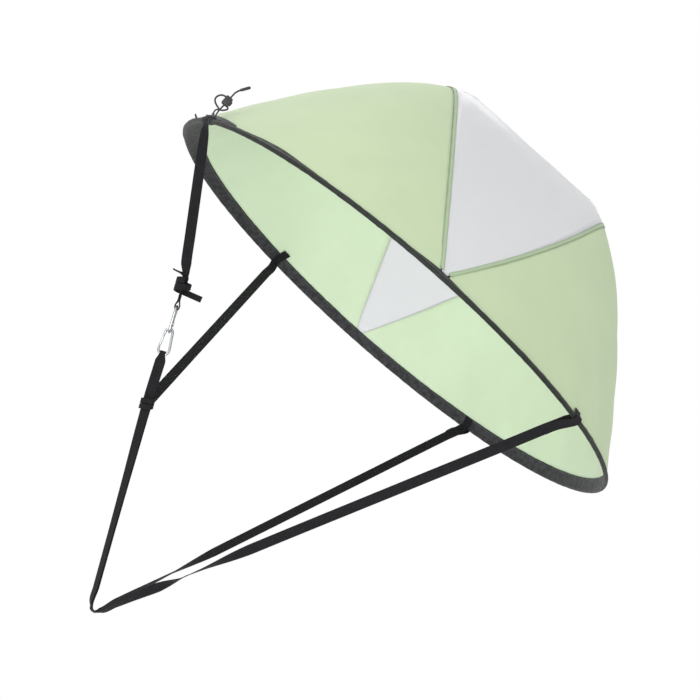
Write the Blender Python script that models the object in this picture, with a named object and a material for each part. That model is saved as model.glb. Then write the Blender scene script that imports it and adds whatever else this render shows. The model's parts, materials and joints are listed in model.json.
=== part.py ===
"""Framed canoe sail: a shock-corded hoop, a three-panel dome, webbing bridle and two linked snap clips."""
import math

import bmesh
import bpy
from mathutils import Matrix, Vector

# Hoop, sleeve and dome
HOOP_RADIUS = 0.540
HOOP_ROD_RADIUS = 0.0025
HOOP_END_GAP = 0.0012
FERRULE_LENGTH = 0.060
FERRULE_WALL = 0.0010
FERRULE_CLEARANCE = 0.0004
DOME_HEIGHT = 0.449
RIDGE_HALF = 0.147
CORNER_OFFSET = 0.215
LEFT_SEAM_BOW = 0.010
RIGHT_SEAM_BOW = 0.026
KEEL_POWER_SHARE = 1.55
SIDE_POWER_SHARE = 1.16
CLOTH_HALF = 0.00045
CLOTH_GAP = 0.00042
SLOPE_STEP = 0.002
SLEEVE_WALL = 0.0007
POCKET_RADIUS = 0.0034
POCKET_SWELL = 0.0015
EDGE_ROW = 0.006
HEM_ROW = 0.012
BAND_ROW = 0.027
SEAM_HALF_GAP = 0.0002
TAPE_ROW = 0.005
TAPE_HALF = 0.0036
TAPE_LIFT = 0.0010
TAPE_THICKNESS = 0.0005
PATCH_LIFT = 0.0013
PATCH_THICKNESS = 0.0006
RIM_COLUMNS = 72
INNER_ROWS = 6
WINDOW_SHARES = (0.26, 0.5, 0.74)
INNER_LEG_SHARE = 0.93
OUTER_LEG_SHARE = 0.02
TAPE_FOOT_SHARES = {1: 0.15, -1: 0.62}
WIDE_LEG_SHARE = 0.5
WIDE_LEG_CENTRES_DEG = (-131.0, -91.0)
WIDE_LEG_SPREADS_DEG = (8.0, 5.0)
PATCH_START_DEG = 145.0
PATCH_END_DEG = 215.0
PATCH_FOOT_SHARE = 0.08
PATCH_REACH_SHARE = 0.62
PATCH_END_SHARE = 0.2
PATCH_MIDDLE_SHARE = 0.9
PATCH_ROUND_SHARE = 0.7
TAPE_ROOM_SHARE = 0.3
WINDOW_TAPE_SHARE = 0.2
WINDOW_EDGE_SHARES = (0.13, 0.87)

# Place of the sail, whose carrying hand holds the bridle's bight at the world origin
TILT_DEG = 41.1
BIGHT = (-0.052, 0.0, -0.803)
VIEW_SHARES = (0.045, 0.988, 0.149)

# Webbing
WEB_WIDTH = 0.020
WEB_THICKNESS = 0.0015
PLY_GAP = 0.0004
LOOP_HALF_DEPTH = 0.00435
LOOP_RISE = 0.0068
LOOP_WIDTH = 0.0096
LOOP_NECK = 0.016
LOOP_CALM = 0.010
LOOP_SHOULDER_SHARE = 0.72
STRAP_LIFT = 0.0033
STRAP_HEM_LIFT = 0.0046
NEAR_LEG_TWISTS_DEG = ((0.10, 45), (0.155, 20), (0.215, 88), (0.26, 75), (0.36, 15), (0.70, 12), (0.955, 15))
FAR_LEG_TWISTS_DEG = ((0.10, 60), (0.20, 80), (0.30, 30), (0.45, 25), (0.70, 20), (0.955, 15))
RISER_TWISTS_DEG = ((0.06, 27), (0.35, 45), (0.65, 56), (0.925, 68))
BIGHT_TWIST_DEG = 73
BIGHT_END_TWIST_DEG = 70
RISER_PIECES = 6
KNOT_TWISTS_DEG = (10, 72)
KNOT_INNER_WIDTH = 0.0110
KNOT_TUCK = 0.0057
KNOT_OPEN_SHARE = 1.9
RISER_OPEN_SHARE = 1.35
BIGHT_OPEN_SHARE = 3.6
HITCH_TWIST_DEG = 22
HITCH_END_TWIST_DEG = 16
NEAR_ANCHOR_DEG = -50.4
FAR_ANCHOR_DEG = 53.0
HITCH_PLACE = (-0.236, -0.074, -0.455)
HITCH_LENGTH = 0.022
HITCH_END_SHARE = 0.4
HITCH_TURNS = 1.75
HITCH_SQUARE_SHARE = 0.55
HITCH_HALF_WIDTH = 0.0132
HITCH_HALF_DEPTH = 0.0062
WRAP_WIDTH = 0.0095
WRAP_THICKNESS = 0.0016
WRAP_PITCH = 0.0112
KNOT_PLACE = (-0.334, -0.077, -0.243)
KNOT_RADIUS = 0.0143
KNOT_WRAP_WIDTH = 0.0120
KNOT_WRAP_THICKNESS = 0.0030
KNOT_PITCH = 0.0138
KNOT_TURNS = 1.5
KNOT_SQUARE_SHARE = 0.9
KNOT_BELOW_SHARE = 1.2
KNOT_INSIDE_SHARE = 0.3
KNOT_TAIL_SHARE = 0.4
BIGHT_RADIUS = 0.022
CLIP_STRAP_DEG = -156.0
SIDE_STRAP_DEG = 118.0
CLIP_STRAP_TWISTS_DEG = ((0.16, 25), (0.4, 5), (0.68, -5), (0.86, 0))
SIDE_TWISTS_DEG = ((0.045, 12), (0.3, 20), (0.6, 10), (0.93, 5))
SIDE_REACH = 0.040
ANCHOR_DROP = 0.017
ANCHOR_REACH = 0.024
INNER_TURN_CLIMB = 0.0035
INNER_TURN_DROP = 0.0078
TAB_GAP = 0.0014
TAB_RUN = 0.018
TAB_DROP = 0.0072
TAB_SWING = 0.0040
TAB_TOP = 0.0068
TAB_LIFT = 0.0030
TAB_REACH = 0.016
TAB_TURN_SHARES = (0.95, 0.3)
WRAP_DROP = 0.0056
WRAP_SWING = 0.0040
WRAP_TOP = 0.0062
WRAP_END_LIFT = 0.0030
WRAP_STEPS = 14
WRAP_LOW_SHARE = 0.4
KNOT_LOOP_PLACE = (-0.316, -0.074, -0.280)
KNOT_TIP_PLACE = (-0.3698, -0.0727, -0.2308)
KNOT_TIP_WIDTH = 0.010
KNOT_TIP_TWIST_DEG = 60
KNOT_TAIL_PLACE = (-0.2905, -0.075, -0.2399)

# Snap clips of round wire
WIRE_RADIUS = 0.0025
NOSE_SHARE = 0.82
BOW_RADIUS = 0.0105
EYE_RADIUS = 0.0070
EYE_SPACING = 0.0335
LINK_GAP = 0.0009
NOSE_REACH = 0.0030
HINGE_REACH = 0.0050
TONGUE_LENGTH = 0.0052
TONGUE_HALF_WIDTH = 0.0019
TONGUE_HALF = 0.00075
TONGUE_SHIFT = 0.00115
TONGUE_ROOT_SHARE = 0.12
PIN_SHARE = 0.55
PIN_RADIUS = 0.0008
PIN_CLEARANCE = 0.00035
FORK_GAP = 0.0044
FORK_CHEEK = 0.0009
FORK_LENGTH = 0.0068
FORK_HALF_WIDTH = 0.0023
FORK_BACK_SHARE = 0.28
FORK_NECK_SHARE = 1.25
FORK_SLOT_SHARE = 0.72
GATE_RADIUS = 0.0021
GATE_NOSE_SHARES = (0.8, 0.5)
GATE_NOSE_GAP = 0.0006
SPRING_WIRE = 0.00025
SPRING_RADIUS = 0.00165
SPRING_PITCH = 0.00100
SPRING_TURNS = 1.5

# Elastic tether, cord lock and small cords
CORD_RADIUS = 0.0014
FINE_CORD_RADIUS = 0.0011
LOCK_CENTRE = (-0.4905, -0.2300, 0.0486)
LOCK_LEFT = 0.0074
LOCK_RIGHT = 0.0066
LOCK_HEIGHT = 0.0180
LOCK_DEPTH = 0.0124
LOCK_ROUND = 0.0024
LOCK_WALL = 0.0012
PLUNGER_HEIGHT = 0.0084
PLUNGER_DEPTH = 0.0088
PLUNGER_INNER = 0.0032
PLUNGER_OUTER = 0.0092
PLUNGER_GAP = 0.0004
PLUNGER_TRAVEL = 0.0020
CORD_SPREAD = 0.00155
CORD_CLEARANCE = 0.0004
LOCK_SPRING_WIRE = 0.00025
LOCK_SPRING_RADIUS = 0.0019
LOCK_SPRING_PITCH = 0.00095
SIDES = 8
WELD = 0.000002
LOCK_SPRING_TURNS = 2
COIL_STEPS = 9
TETHER_FOOT = (-0.4890, -0.2330, 0.0115)
TETHER_STRAIGHT = (-0.0210, -0.0160, 0.0160, 0.0210)
TETHER_BEND = (-0.4870, -0.2300, 0.0800)
TETHER_END = (-0.4790, -0.2300, 0.0930)
TIP_STEPS = 4
TIP_SPREAD = 0.0022
LASH_SHIFT = 0.0120
LASH_PITCH = 0.0050
LASH_OUT = 0.0058
LASH_CLIMB = 0.0100
LASH_LIFT = 0.0039
LASH_CROSS_CLIMB = 0.0030
LASH_CROSS_LIFT = 0.0092
LASH_CROSS_SHIFT = 0.0112
LASH_TURN_SHARES = (-1.1, -0.4, 0.4, 1.1)
LASH_BEND_SHARES = (0.75, 0.7)
KEEL_LOOP_DEG = 180.0
KEEL_LOOP_ROW = 0.062
KEEL_LOOP_SPREAD = 0.012
KEEL_LOOP_HEIGHT = 0.015
RIM_LOOP_DEG = -167.0
RIM_LOOP_ROW = 0.008
RIM_LOOP_SPREAD = 0.009
RIM_LOOP_HEIGHT = 0.008
LOOP_SEATS = {"keel_loop": 0.0022, "rim_loop": 0.0032}
LOOP_BULGE_SHARES = (0.6, 0.16)
BOW_STEPS = 12
EYE_STEPS = 9

SAIL = None


def clear_scene():
    for item in list(bpy.data.objects):
        bpy.data.objects.remove(item, do_unlink=True)


def material(name, colour, roughness, metallic=0.0):
    paint = bpy.data.materials.new(name)
    paint.use_nodes = True
    shader = paint.node_tree.nodes["Principled BSDF"]
    shader.inputs["Base Color"].default_value = (*colour, 1.0)
    shader.inputs["Roughness"].default_value = roughness
    shader.inputs["Metallic"].default_value = metallic
    return paint


PAINTS = {
    "sage": ((0.56, 0.72, 0.44), 0.85, 0.0),
    "moss": ((0.40, 0.52, 0.32), 0.85, 0.0),
    "clear": ((0.72, 0.74, 0.76), 0.15, 0.0),
    "webbing": ((0.02, 0.02, 0.022), 0.8, 0.0),
    "sleeve": ((0.045, 0.045, 0.05), 0.75, 0.0),
    "glass_rod": ((0.60, 0.58, 0.50), 0.5, 0.0),
    "plated": ((0.72, 0.73, 0.75), 0.25, 1.0),
    "spring": ((0.55, 0.56, 0.58), 0.3, 1.0),
    "lock": ((0.03, 0.03, 0.03), 0.45, 0.0),
    "cord": ((0.03, 0.03, 0.035), 0.9, 0.0),
}


def add_object(name, mesh, paint, frame=None):
    """Put a mesh in the sail's axes, with its own material and its place in the frame matrix."""
    thing = bpy.data.objects.new(name, mesh)
    bpy.context.scene.collection.objects.link(thing)
    thing.parent = SAIL
    if frame is not None:
        thing.matrix_local = frame
    mesh.materials.clear()
    mesh.materials.append(material(name, *PAINTS[paint]))
    return thing


def finish_mesh(name, shell, paint, frame=None, smooth=True):
    """Weld, close and turn outward the faces of a bmesh and make it an object."""
    bmesh.ops.remove_doubles(shell, verts=shell.verts, dist=WELD)
    bmesh.ops.recalc_face_normals(shell, faces=shell.faces)
    for face in shell.faces:
        face.smooth = smooth
    mesh = bpy.data.meshes.new(name)
    shell.to_mesh(mesh)
    shell.free()
    return add_object(name, mesh, paint, frame)


def add_loft(shell, loops, closed=False):
    """Join like loops of points with quads, capped at both ends unless the path is closed."""
    rings = [[shell.verts.new(point) for point in loop] for loop in loops]
    pairs = list(zip(rings, rings[1:]))
    if closed:
        pairs.append((rings[-1], rings[0]))
    count = len(rings[0])
    for ring, after in pairs:
        for index in range(count):
            step = (index + 1) % count
            shell.faces.new((ring[index], ring[step], after[step], after[index]))
    if not closed:
        shell.faces.new(rings[0])
        shell.faces.new(reversed(rings[-1]))


def loft(name, loops, paint, closed=False, frame=None):
    shell = bmesh.new()
    add_loft(shell, loops, closed)
    return finish_mesh(name, shell, paint, frame)


def plate(name, upper, lower, paint):
    """Close two like grids of points, the upper and lower faces of a thin cloth, into one solid."""
    shell = bmesh.new()
    top = [[shell.verts.new(point) for point in column] for column in upper]
    bottom = [[shell.verts.new(point) for point in column] for column in lower]
    last_column = len(top) - 1
    last_row = len(top[0]) - 1
    for grid in (top, bottom):
        for column in range(last_column):
            for row in range(last_row):
                near, far = grid[column], grid[column + 1]
                shell.faces.new((near[row], far[row], far[row + 1], near[row + 1]))
    for column in range(last_column):
        for row in (0, last_row):
            shell.faces.new((top[column][row], top[column + 1][row],
                             bottom[column + 1][row], bottom[column][row]))
    for row in range(last_row):
        for column in (0, last_column):
            shell.faces.new((top[column][row], top[column][row + 1],
                             bottom[column][row + 1], bottom[column][row]))
    bmesh.ops.remove_doubles(shell, verts=shell.verts, dist=WELD)
    bmesh.ops.dissolve_degenerate(shell, edges=shell.edges, dist=WELD)
    return finish_mesh(name, shell, paint)


def smooth_path(keys, counts):
    """A smooth line through key vectors, with a number of pieces for each stretch."""
    spans = [max((b - a).length, WELD) for a, b in zip(keys, keys[1:])]
    slopes = [(keys[1] - keys[0]) / spans[0]]
    for index in range(1, len(keys) - 1):
        back, ahead = spans[index - 1], spans[index]
        before = (keys[index] - keys[index - 1]) / back
        after = (keys[index + 1] - keys[index]) / ahead
        slopes.append((before * ahead + after * back) / (back + ahead))
    slopes.append((keys[-1] - keys[-2]) / spans[-1])
    line = []
    for index, count in enumerate(counts):
        start, end, span = keys[index], keys[index + 1], spans[index]
        for piece in range(count):
            t = piece / count
            square, cube = t * t, t * t * t
            line.append(start * (2 * cube - 3 * square + 1) + slopes[index] * span * (cube - 2 * square + t)
                        + end * (3 * square - 2 * cube) + slopes[index + 1] * span * (cube - square))
    line.append(keys[-1])
    return line


def blend_values(keys, counts):
    line = []
    for index, count in enumerate(counts):
        for piece in range(count):
            share = piece / count
            line.append(keys[index] * (1 - share) + keys[index + 1] * share)
    line.append(keys[-1])
    return line


def tangents(path, closed=False):
    last = len(path) - 1
    result = []
    for index in range(len(path)):
        before = path[index - 1] if closed or index else path[0]
        after = path[(index + 1) % len(path)] if closed or index < last else path[last]
        result.append((after - before).normalized())
    return result


def ribbon(name, keys, paint, thickness=None):
    """Webbing through keys of (point, width direction, width, pieces to the next key)."""
    counts = [key[3] for key in keys[:-1]]
    path = smooth_path([key[0] for key in keys], counts)
    across = blend_values([key[1] for key in keys], counts)
    widths = blend_values([key[2] for key in keys], counts)
    half = (thickness or WEB_THICKNESS) / 2
    loops = []
    for point, heading, side, width in zip(path, tangents(path), across, widths):
        side = (side - heading * side.dot(heading)).normalized()
        face = heading.cross(side)
        loops.append([point + side * (width / 2 * a) + face * (half * b)
                      for a, b in ((1, 1), (-1, 1), (-1, -1), (1, -1))])
    return loft(name, loops, paint)


def circle(radius, sides, turn=0.0):
    angles = [math.tau * (k + turn) / sides for k in range(sides)]
    return [(radius * math.cos(angle), radius * math.sin(angle)) for angle in angles]


def cord(name, points, radius, paint, smooth=4, joined=False):
    """A round cord as a filled curve through the points that its route lists."""
    keys = [Vector(point) for point in points]
    line = smooth_path(keys, [smooth] * (len(keys) - 1))
    curve = bpy.data.curves.new(name, "CURVE")
    curve.dimensions = "3D"
    curve.bevel_depth = radius
    curve.bevel_resolution = 1 if radius < LOCK_SPRING_WIRE * 2 else 2
    curve.use_fill_caps = not joined
    spline = curve.splines.new("POLY")
    spline.points.add(len(line) - 1)
    for slot, point in zip(spline.points, line):
        slot.co = (*point, 1.0)
    spline.use_cyclic_u = joined
    return add_object(name, curve, paint)


def print_coil_gap(name, points, radius):
    """Measure the least gap between a coil's turns on its points, and print it."""
    nearest = min((Vector(a) - Vector(b)).length for k, a in enumerate(points)
                  for b in points[k + COIL_STEPS - 1:])
    print(name, "gap to itself", round((nearest - radius * 2) * 1000, 2), "mm")


def cut(target, cutter, operation="DIFFERENCE"):
    step = target.modifiers.new("Shape", "BOOLEAN")
    step.operation = operation
    step.solver = "EXACT"
    step.object = cutter
    cutter.hide_render = True
    cutter.display_type = "WIRE"


# Shape of the dome
def dome_height(x, y):
    """Height of the cloth's middle over the hoop's plane, taut between the hoop and a short ridge."""
    ridge = RIDGE_HALF * (1 - abs(y) / HOOP_RADIUS)
    keel = 0.0
    if abs(x) <= ridge:
        share = abs(y) / HOOP_RADIUS
    else:
        apex = math.copysign(RIDGE_HALF, x)
        ray = Vector((x - apex, y))
        run = max(ray.length, WELD)
        ray.normalize()
        along = apex * ray.x
        span = math.sqrt(along ** 2 + HOOP_RADIUS ** 2 - RIDGE_HALF ** 2) - along
        share = min(run / span, 1.0)
        keel = ((apex + span * ray.x) / HOOP_RADIUS) ** 2
    power = SIDE_POWER_SHARE + (KEEL_POWER_SHARE - SIDE_POWER_SHARE) * keel
    return DOME_HEIGHT * (1 - share ** power)


def skin(x, y, lift=0.0):
    """A point on the dome, raised along the cloth's normal by lift."""
    step = SLOPE_STEP
    rise_x = (dome_height(x + step, y) - dome_height(x - step, y)) / (step + step)
    rise_y = (dome_height(x, y + step) - dome_height(x, y - step)) / (step + step)
    normal = Vector((-rise_x, -rise_y, 1)).normalized()
    return Vector((x, y, dome_height(x, y))) + normal * lift


def rim_slope(deg):
    angle = math.radians(deg)
    inner = HOOP_RADIUS - EDGE_ROW
    rise = dome_height(inner * math.cos(angle), inner * math.sin(angle))
    return math.atan2(rise, EDGE_ROW)


def row_reach(deg, row):
    return HOOP_RADIUS - row * math.cos(rim_slope(deg))


def row_vertex(deg, row, lift):
    angle = math.radians(deg)
    reach = row_reach(deg, row)
    return skin(reach * math.cos(angle), reach * math.sin(angle), lift)


def along_rim(deg, place):
    """Value at an angle, on the chord between the two hoop columns beside it."""
    step = 360 / RIM_COLUMNS
    low = math.floor(deg / step + WELD) * step
    return place(low).lerp(place(low + step), (deg - low) / step)


def row_point(deg, row, lift=0.0):
    return along_rim(deg, lambda column: row_vertex(column, row, lift))


def hoop_vertex(deg):
    angle = math.radians(deg)
    return Vector((HOOP_RADIUS * math.cos(angle), HOOP_RADIUS * math.sin(angle), 0))


def rim_axes(deg):
    """Radial direction, direction up the cloth and cloth normal at the hoop."""
    angle = math.radians(deg)
    slope = rim_slope(deg)
    radial = Vector((math.cos(angle), math.sin(angle), 0))
    climb = Vector((0, 0, math.sin(slope))) - radial * math.cos(slope)
    normal = Vector((0, 0, math.cos(slope))) + radial * math.sin(slope)
    return radial, climb, normal


def rim_place(deg, climb_by, lift):
    """A point beside the hoop, by its distance up the cloth and off the cloth."""
    def place(column):
        radial, climb, normal = rim_axes(column)
        return hoop_vertex(column) + climb * climb_by + normal * lift
    return along_rim(deg, place)


def rim_tangent(deg):
    angle = math.radians(deg)
    return Vector((-math.sin(angle), math.cos(angle), 0))


def seam_x(y, side):
    """Plan place of a window seam: the corner on the keel, bowed on its way to the hoop."""
    share = min(abs(y) / HOOP_RADIUS, 1.0)
    bow = LEFT_SEAM_BOW if side < 0 else RIGHT_SEAM_BOW
    return side * (1 - share) * (CORNER_OFFSET + 4 * bow * share)


def seam_deg(row, side, end):
    """Hoop angle at which a seam crosses a row of the cloth near the hoop."""
    reach = row_reach(90, row)
    lean = math.degrees(math.atan2(abs(seam_x(reach, side)), reach))
    return end * (90 - side * lean)


# Cloth
def column_degs(side):
    """Hoop angles of a panel's columns, from the far end of its seam to the near end."""
    step = 360 / RIM_COLUMNS
    return [90 - side * step * k for k in range(1, RIM_COLUMNS // 2)]


def band_plan(deg):
    angle = math.radians(deg)
    reach = row_reach(deg, BAND_ROW)
    return reach * math.cos(angle), reach * math.sin(angle)


def tape_reach(x, y, side):
    """Distance from the seam to the row of the cloth that the tape's edge follows."""
    return min(TAPE_ROW, abs(seam_x(y, side) - x) * TAPE_ROOM_SHARE)


def panel_column(deg, side, lift):
    column = [row_vertex(deg, row, lift) for row in (EDGE_ROW, HEM_ROW, BAND_ROW)]
    x, y = band_plan(deg)
    seam = seam_x(y, side)
    tape = seam + side * tape_reach(x, y, side)
    for index in range(1, INNER_ROWS + 1):
        column.append(skin(x + (tape - x) * index / (INNER_ROWS + 1), y, lift))
    column.append(skin(tape, y, lift))
    column.append(skin(seam + side * SEAM_HALF_GAP, y, lift))
    return column


def seam_column(side, end, lift):
    gap = math.degrees(SEAM_HALF_GAP / HOOP_RADIUS) * -side * end
    column = [row_point(seam_deg(row, side, end) + gap, row, lift) for row in (EDGE_ROW, HEM_ROW, BAND_ROW)]
    return column + [column[-1]] * (INNER_ROWS + 2)


def panel_grid(side, lift):
    columns = [panel_column(deg, side, lift) for deg in column_degs(side)]
    return [seam_column(side, 1, lift)] + columns + [seam_column(side, -1, lift)]


def make_panel(name, side):
    return plate(name, panel_grid(side, CLOTH_HALF), panel_grid(side, -CLOTH_HALF), "sage")


def window_rows(lift):
    """Rows of the window from its far point to its near one, each from the left seam to the right."""
    rows = []
    for end in (1, -1):
        block = []
        for row in (EDGE_ROW, HEM_ROW, BAND_ROW):
            gap = math.degrees(SEAM_HALF_GAP / HOOP_RADIUS)
            left = seam_deg(row, -1, end) - gap * end
            right = seam_deg(row, 1, end) + gap * end
            shares = (0.0, WINDOW_EDGE_SHARES[0]) + WINDOW_SHARES + (WINDOW_EDGE_SHARES[1], 1.0)
            block.append([row_point(left + (right - left) * share, row, lift) for share in shares])
        rows.append(block)
    middle = []
    for deg in column_degs(-1):
        y = band_plan(deg)[1]
        left = seam_x(y, -1) + SEAM_HALF_GAP
        right = seam_x(y, 1) - SEAM_HALF_GAP
        edge = min(TAPE_ROW, (right - left) * WINDOW_TAPE_SHARE)
        places = [left, left + edge]
        places += [left + (right - left) * share for share in WINDOW_SHARES]
        places += [right - edge, right]
        middle.append([skin(x, y, lift) for x in places])
    return rows[0] + middle + rows[1][::-1]


def make_window(name):
    return plate(name, window_rows(CLOTH_HALF), window_rows(-CLOTH_HALF), "clear")


def tape_rows(side, lift):
    """Rows of a seam tape, each from the panel's side over the seam to the window's."""
    spread = math.degrees(TAPE_HALF / HOOP_RADIUS)
    ends = {}
    for end in (1, -1):
        block = []
        for turn in (-spread * side * end, 0.0, spread * side * end):
            foot = row_point(seam_deg(HEM_ROW, side, end) + turn, HEM_ROW, lift)
            top = row_point(seam_deg(BAND_ROW, side, end) + turn, BAND_ROW, lift)
            block.append((foot.lerp(top, TAPE_FOOT_SHARES[end]), top))
        ends[end] = [[pair[0] for pair in block], [pair[1] for pair in block]]
    middle = []
    for deg in column_degs(side):
        x, y = band_plan(deg)
        seam = seam_x(y, side)
        middle.append([skin(seam + side * min(TAPE_HALF, tape_reach(x, y, side)), y, lift),
                       skin(seam, y, lift), skin(seam - side * TAPE_HALF, y, lift)])
    return ends[1] + middle + ends[-1][::-1]


def make_tape(name, side):
    return plate(name, tape_rows(side, TAPE_LIFT + TAPE_THICKNESS), tape_rows(side, TAPE_LIFT), "moss")


def patch_columns(lift):
    columns = []
    step = 360 / RIM_COLUMNS
    count = round((PATCH_END_DEG - PATCH_START_DEG) / step)
    for k in range(count + 1):
        deg = PATCH_START_DEG + step * k
        hem = row_vertex(deg, HEM_ROW, lift)
        band = row_vertex(deg, BAND_ROW, lift)
        after = panel_column(deg, -1, lift)[3]
        bulge = math.sin(math.pi * k / count) ** PATCH_ROUND_SHARE
        reach = PATCH_END_SHARE + (1 - PATCH_END_SHARE + PATCH_REACH_SHARE) * bulge
        edge = hem.lerp(band, reach) if reach <= 1 else band.lerp(after, reach - 1)
        middle = hem.lerp(band, min(reach * PATCH_MIDDLE_SHARE, 1))
        columns.append([hem.lerp(band, PATCH_FOOT_SHARE), middle, edge])
    return columns


# Hoop, its ferrule and the sleeve
def pocket_radius(deg):
    over_ferrule = abs(deg % 360 - 180) <= 360 / RIM_COLUMNS + WELD
    return POCKET_RADIUS + (POCKET_SWELL if over_ferrule else 0.0)


def outer_leg_share(deg):
    turned = (deg + 180) % 360 - 180
    wide = max(math.exp(-((turned - centre) / spread) ** 2)
               for centre, spread in zip(WIDE_LEG_CENTRES_DEG, WIDE_LEG_SPREADS_DEG))
    return OUTER_LEG_SHARE + (WIDE_LEG_SHARE - OUTER_LEG_SHARE) * wide


def sleeve_profile(deg):
    radial, climb, normal = rim_axes(deg)
    centre = hoop_vertex(deg)
    near_lift = CLOTH_HALF + CLOTH_GAP
    far_lift = near_lift + SLEEVE_WALL
    inner = pocket_radius(deg)
    outer = inner + SLEEVE_WALL / math.cos(math.radians(30))

    def arc(angle, radius):
        turn = math.radians(angle)
        return centre + (climb * math.cos(turn) + normal * math.sin(turn)) * radius

    def leg(share, lift):
        return row_vertex(deg, HEM_ROW, lift).lerp(row_vertex(deg, BAND_ROW, lift), share)

    share = outer_leg_share(deg)
    loop = [leg(INNER_LEG_SHARE, -far_lift), leg(0, -far_lift)]
    loop += [arc(angle, outer) for angle in (-60, -120, -180, -240, -300)]
    loop += [leg(share, far_lift), leg(share, near_lift)]
    loop += [arc(angle, inner) for angle in (-300, -240, -180, -120, -60)]
    return loop + [leg(0, -near_lift), leg(INNER_LEG_SHARE, -near_lift)]


def hoop_stations(start, end):
    """Points of the hoop's facetted line between two angles, both ends included."""
    step = 360 / RIM_COLUMNS
    first = math.floor(start / step + 1 + WELD)
    last = math.ceil(end / step - 1 - WELD)
    return [start] + [step * k for k in range(first, last + 1)] + [end]


def hoop_ring(deg, radius):
    def place(column, x, z):
        radial = hoop_vertex(column).normalized()
        return hoop_vertex(column) + radial * x + Vector((0, 0, z))
    return [along_rim(deg, lambda column: place(column, x, z)) for x, z in circle(radius, SIDES, 0.5)]


def make_hoop():
    gap = math.degrees(HOOP_END_GAP / HOOP_RADIUS)
    stations = hoop_stations(-180 + gap, 180 - gap)
    loft("hoop_rod", [hoop_ring(deg, HOOP_ROD_RADIUS) for deg in stations], "glass_rod")
    reach = math.degrees(FERRULE_LENGTH / 2 / HOOP_RADIUS)
    inside = HOOP_ROD_RADIUS + FERRULE_CLEARANCE
    outside = inside + FERRULE_WALL
    shell = bmesh.new()
    stations = hoop_stations(180 - reach, 180 + reach)
    inner = [[shell.verts.new(p) for p in hoop_ring(deg, inside)] for deg in stations]
    outer = [[shell.verts.new(p) for p in hoop_ring(deg, outside)] for deg in stations]
    for k in range(SIDES):
        n = (k + 1) % SIDES
        for rings in (inner, outer):
            for a, b in zip(rings, rings[1:]):
                shell.faces.new((a[k], a[n], b[n], b[k]))
        for end in (0, -1):
            shell.faces.new((inner[end][k], inner[end][n], outer[end][n], outer[end][k]))
    finish_mesh("hoop_ferrule", shell, "plated")


def make_sail_cloth():
    make_hoop()
    step = 360 / RIM_COLUMNS
    loft("rim_sleeve", [sleeve_profile(step * k) for k in range(RIM_COLUMNS)], "sleeve", closed=True)
    make_panel("left_panel", -1)
    make_panel("right_panel", 1)
    make_window("window_panel")
    make_tape("left_seam_tape", -1)
    make_tape("right_seam_tape", 1)
    plate("end_patch", patch_columns(PATCH_LIFT + PATCH_THICKNESS), patch_columns(PATCH_LIFT), "sleeve")


# Webbing
VIEW = Vector(VIEW_SHARES).normalized()


def turned(heading, degrees):
    """Width direction of a strap that is turned by an angle from facing the viewer."""
    across = VIEW.cross(heading).normalized()
    deep = heading.cross(across)
    angle = math.radians(degrees)
    return across * math.cos(angle) + deep * math.sin(angle)


def ply_key(point, heading, degrees, offset, width=WEB_WIDTH, pieces=2):
    side = turned(heading, degrees)
    return (point + heading.cross(side) * offset, side, width, pieces)


def chain_axes():
    """Top bow's wire, chain direction, and the far bow's wire."""
    top = Vector(KNOT_LOOP_PLACE)
    down = (Vector(HITCH_PLACE) - top).normalized()
    clip = BOW_RADIUS + EYE_SPACING + EYE_RADIUS
    overlap = WIRE_RADIUS * 2 + LINK_GAP
    return top, down, clip, overlap


def loop_keys(centre, down, degrees, sense):
    """A webbing loop over a bow's wire: down is from the loop to the knot below it."""
    side = turned(down * sense, degrees)
    face = (down * sense).cross(side)
    ply = (WEB_THICKNESS + PLY_GAP) / 2 * RISER_OPEN_SHARE
    half = LOOP_HALF_DEPTH
    shoulder = LOOP_RISE * LOOP_SHOULDER_SHARE
    shoulder_half = half * LOOP_SHOULDER_SHARE
    keys = [(centre + down * (LOOP_NECK + LOOP_CALM) - face * ply, side, WEB_WIDTH, 2),
            (centre + down * LOOP_NECK - face * ply, side, WEB_WIDTH, 3),
            (centre - face * half, side, LOOP_WIDTH, 2),
            (centre - down * shoulder - face * shoulder_half, side, LOOP_WIDTH, 2),
            (centre - down * LOOP_RISE, side, LOOP_WIDTH, 2),
            (centre - down * shoulder + face * shoulder_half, side, LOOP_WIDTH, 2),
            (centre + face * half, side, LOOP_WIDTH, 3),
            (centre + down * LOOP_NECK + face * ply, side, WEB_WIDTH, 2),
            (centre + down * (LOOP_NECK + LOOP_CALM) + face * ply, side, WEB_WIDTH, 6)]
    return keys


def inner_end_keys(deg, reach):
    """The end of a strap that meets the hoop from inside and lies on the cloth there."""
    tangent = rim_tangent(deg)
    return [(rim_place(deg, INNER_TURN_CLIMB, -INNER_TURN_DROP), tangent, WEB_WIDTH, 2),
            (row_point(deg, HEM_ROW, -STRAP_HEM_LIFT), tangent, WEB_WIDTH, 2),
            (row_point(deg, reach, -STRAP_LIFT), tangent, WEB_WIDTH, 1)]


def leg_keys(deg, twists, offset):
    """One leg of the bridle from the end of the bight to its anchor on the hoop."""
    bight = Vector(BIGHT)
    anchor = rim_place(deg, 0, -ANCHOR_DROP)
    heading = (anchor - bight).normalized()
    reach = (anchor - bight).length
    keys = [ply_key(bight + heading * (reach * share), heading, twist, offset, pieces=3)
            for share, twist in twists]
    return keys, heading, anchor


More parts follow.
